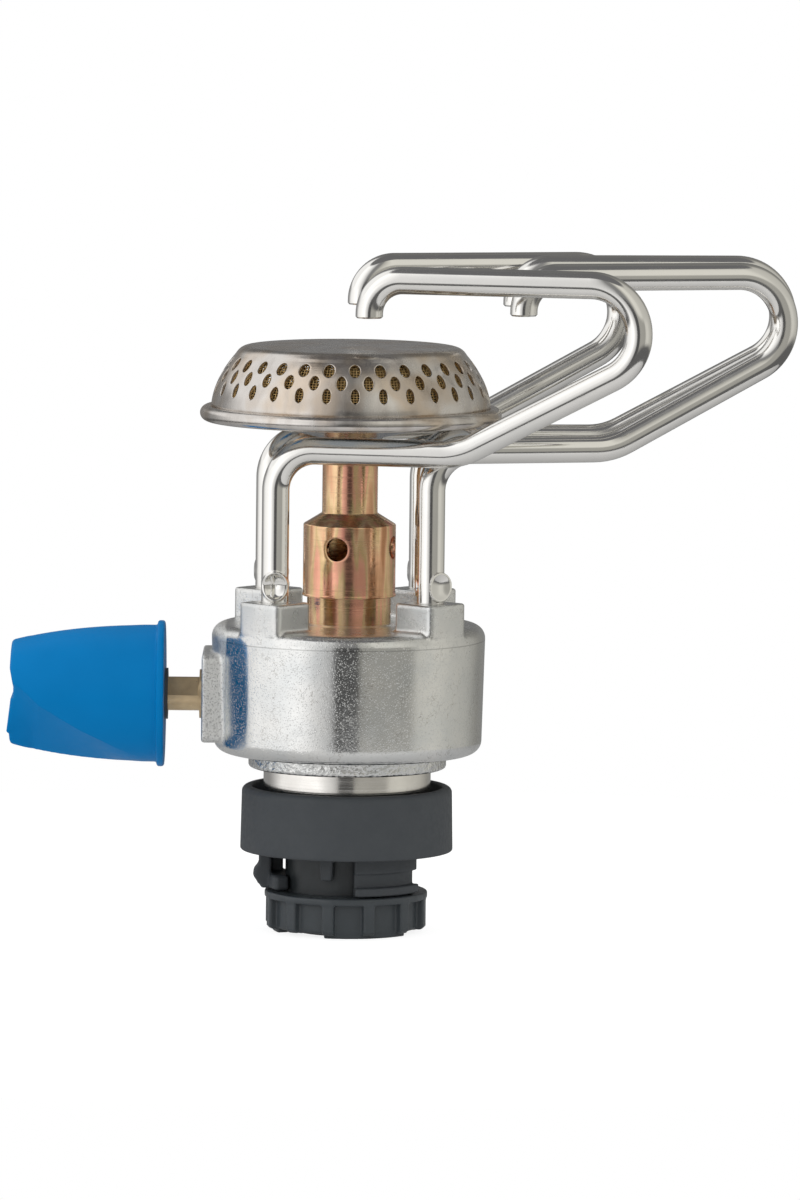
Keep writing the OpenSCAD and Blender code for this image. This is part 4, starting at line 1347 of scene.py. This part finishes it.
def card_ramp(tree, share, cards):
    """The light of the cards all round, from a share of the full turn."""
    stops = []
    for angle, light in cards:
        tint = warm_side if warm_from < angle < warm_to else (1, 1, 1)
        stops.append(((angle + 180) / 360, [light * part / studio_level for part in tint]))
    return banded(tree, share, stops)


def card_material():
    """Light boxes and dark cards, by the direction they stand in."""
    material, tree = new_material("studio_cards")
    material.cycles.emission_sampling = "NONE"
    tree.nodes.clear()
    parts = spread(tree, made(tree, "VectorMath", (0, here(tree)), operation="NORMALIZE"))
    front = times(tree, parts["Y"], -1.0)
    share = ramp(tree, calc(tree, "ARCTAN2", parts["X"], front), -pi, pi)
    under, ceiling = [[level / studio_level for level in light] for light in (under_light, ceiling_light)]
    low, high = card_ramp(tree, share, low_cards), card_ramp(tree, share, high_cards)
    light = mixed(tree, ramp(tree, parts["Z"], *under_rise), under, low)
    light = mixed(tree, ramp(tree, parts["Z"], *high_rise, smooth=True), light, high)
    light = mixed(tree, ramp(tree, parts["Z"], *ceiling_rise, smooth=True), light, ceiling)
    glow = made(tree, "Emission", ("Color", light), ("Strength", studio_level))
    add(tree, "OutputMaterial", ("Surface", glow))
    return material


def studio_cards():
    """A round of cards that only the metal shows, with gaps on the left where it shows the white world."""
    angles = range(-180, 180, card_step)
    turns = [radians(angle) for angle in angles]
    points = []
    for rise in card_rows:
        reach = cards_r * sqrt(1 - rise ** 2)
        points += [(reach * sin(a), -reach * cos(a), cards_r * rise) for a in turns]
    count = len(turns)
    faces = [tuple(range(count)), tuple(range(len(points) - count, len(points)))]
    for row, gap in enumerate(row_gaps):
        band = ring_faces(2, count, start=row * count)
        faces += [face for angle, face in zip(angles, band) if not gap[0] <= angle < gap[1]]
    cards = shown("studio_cards", points, faces, card_material())
    cards.location = (0, 0, cards_z)
    cards.visible_camera = False
    cards.visible_diffuse = False
    cards.visible_shadow = False


def studio_world():
    """Plain soft light on every surface; white to the camera and in the metal."""
    world = bpy.data.worlds.new("studio")
    world.use_nodes = True
    world.cycles.sampling_method = "NONE"
    tree = world.node_tree
    tree.nodes.clear()
    parts = spread(tree, add(tree, "TexCoord").outputs["Generated"])
    soft = mixed(tree, ramp(tree, parts["X"], -1.0, 1.0), plain_left, plain_right)
    level = ramp(tree, parts["Z"], -0.25, 0.35, plain_low, plain_high)
    plain = made(tree, "Background", ("Color", soft), ("Strength", level))
    white = made(tree, "Background", ("Color", white_light), ("Strength", 1.0))
    path = add(tree, "LightPath").outputs
    mirror = calc(tree, "MAXIMUM", path["Is Glossy Ray"], path["Is Transmission Ray"])
    seen = calc(tree, "MAXIMUM", path["Is Camera Ray"], mirror)
    mix = made(tree, "MixShader", (0, seen), (1, plain), (2, white))
    add(tree, "OutputWorld", ("Surface", mix))
    scene.world = world


studio_cards()
studio_world()
scene.view_settings.view_transform = "Standard"
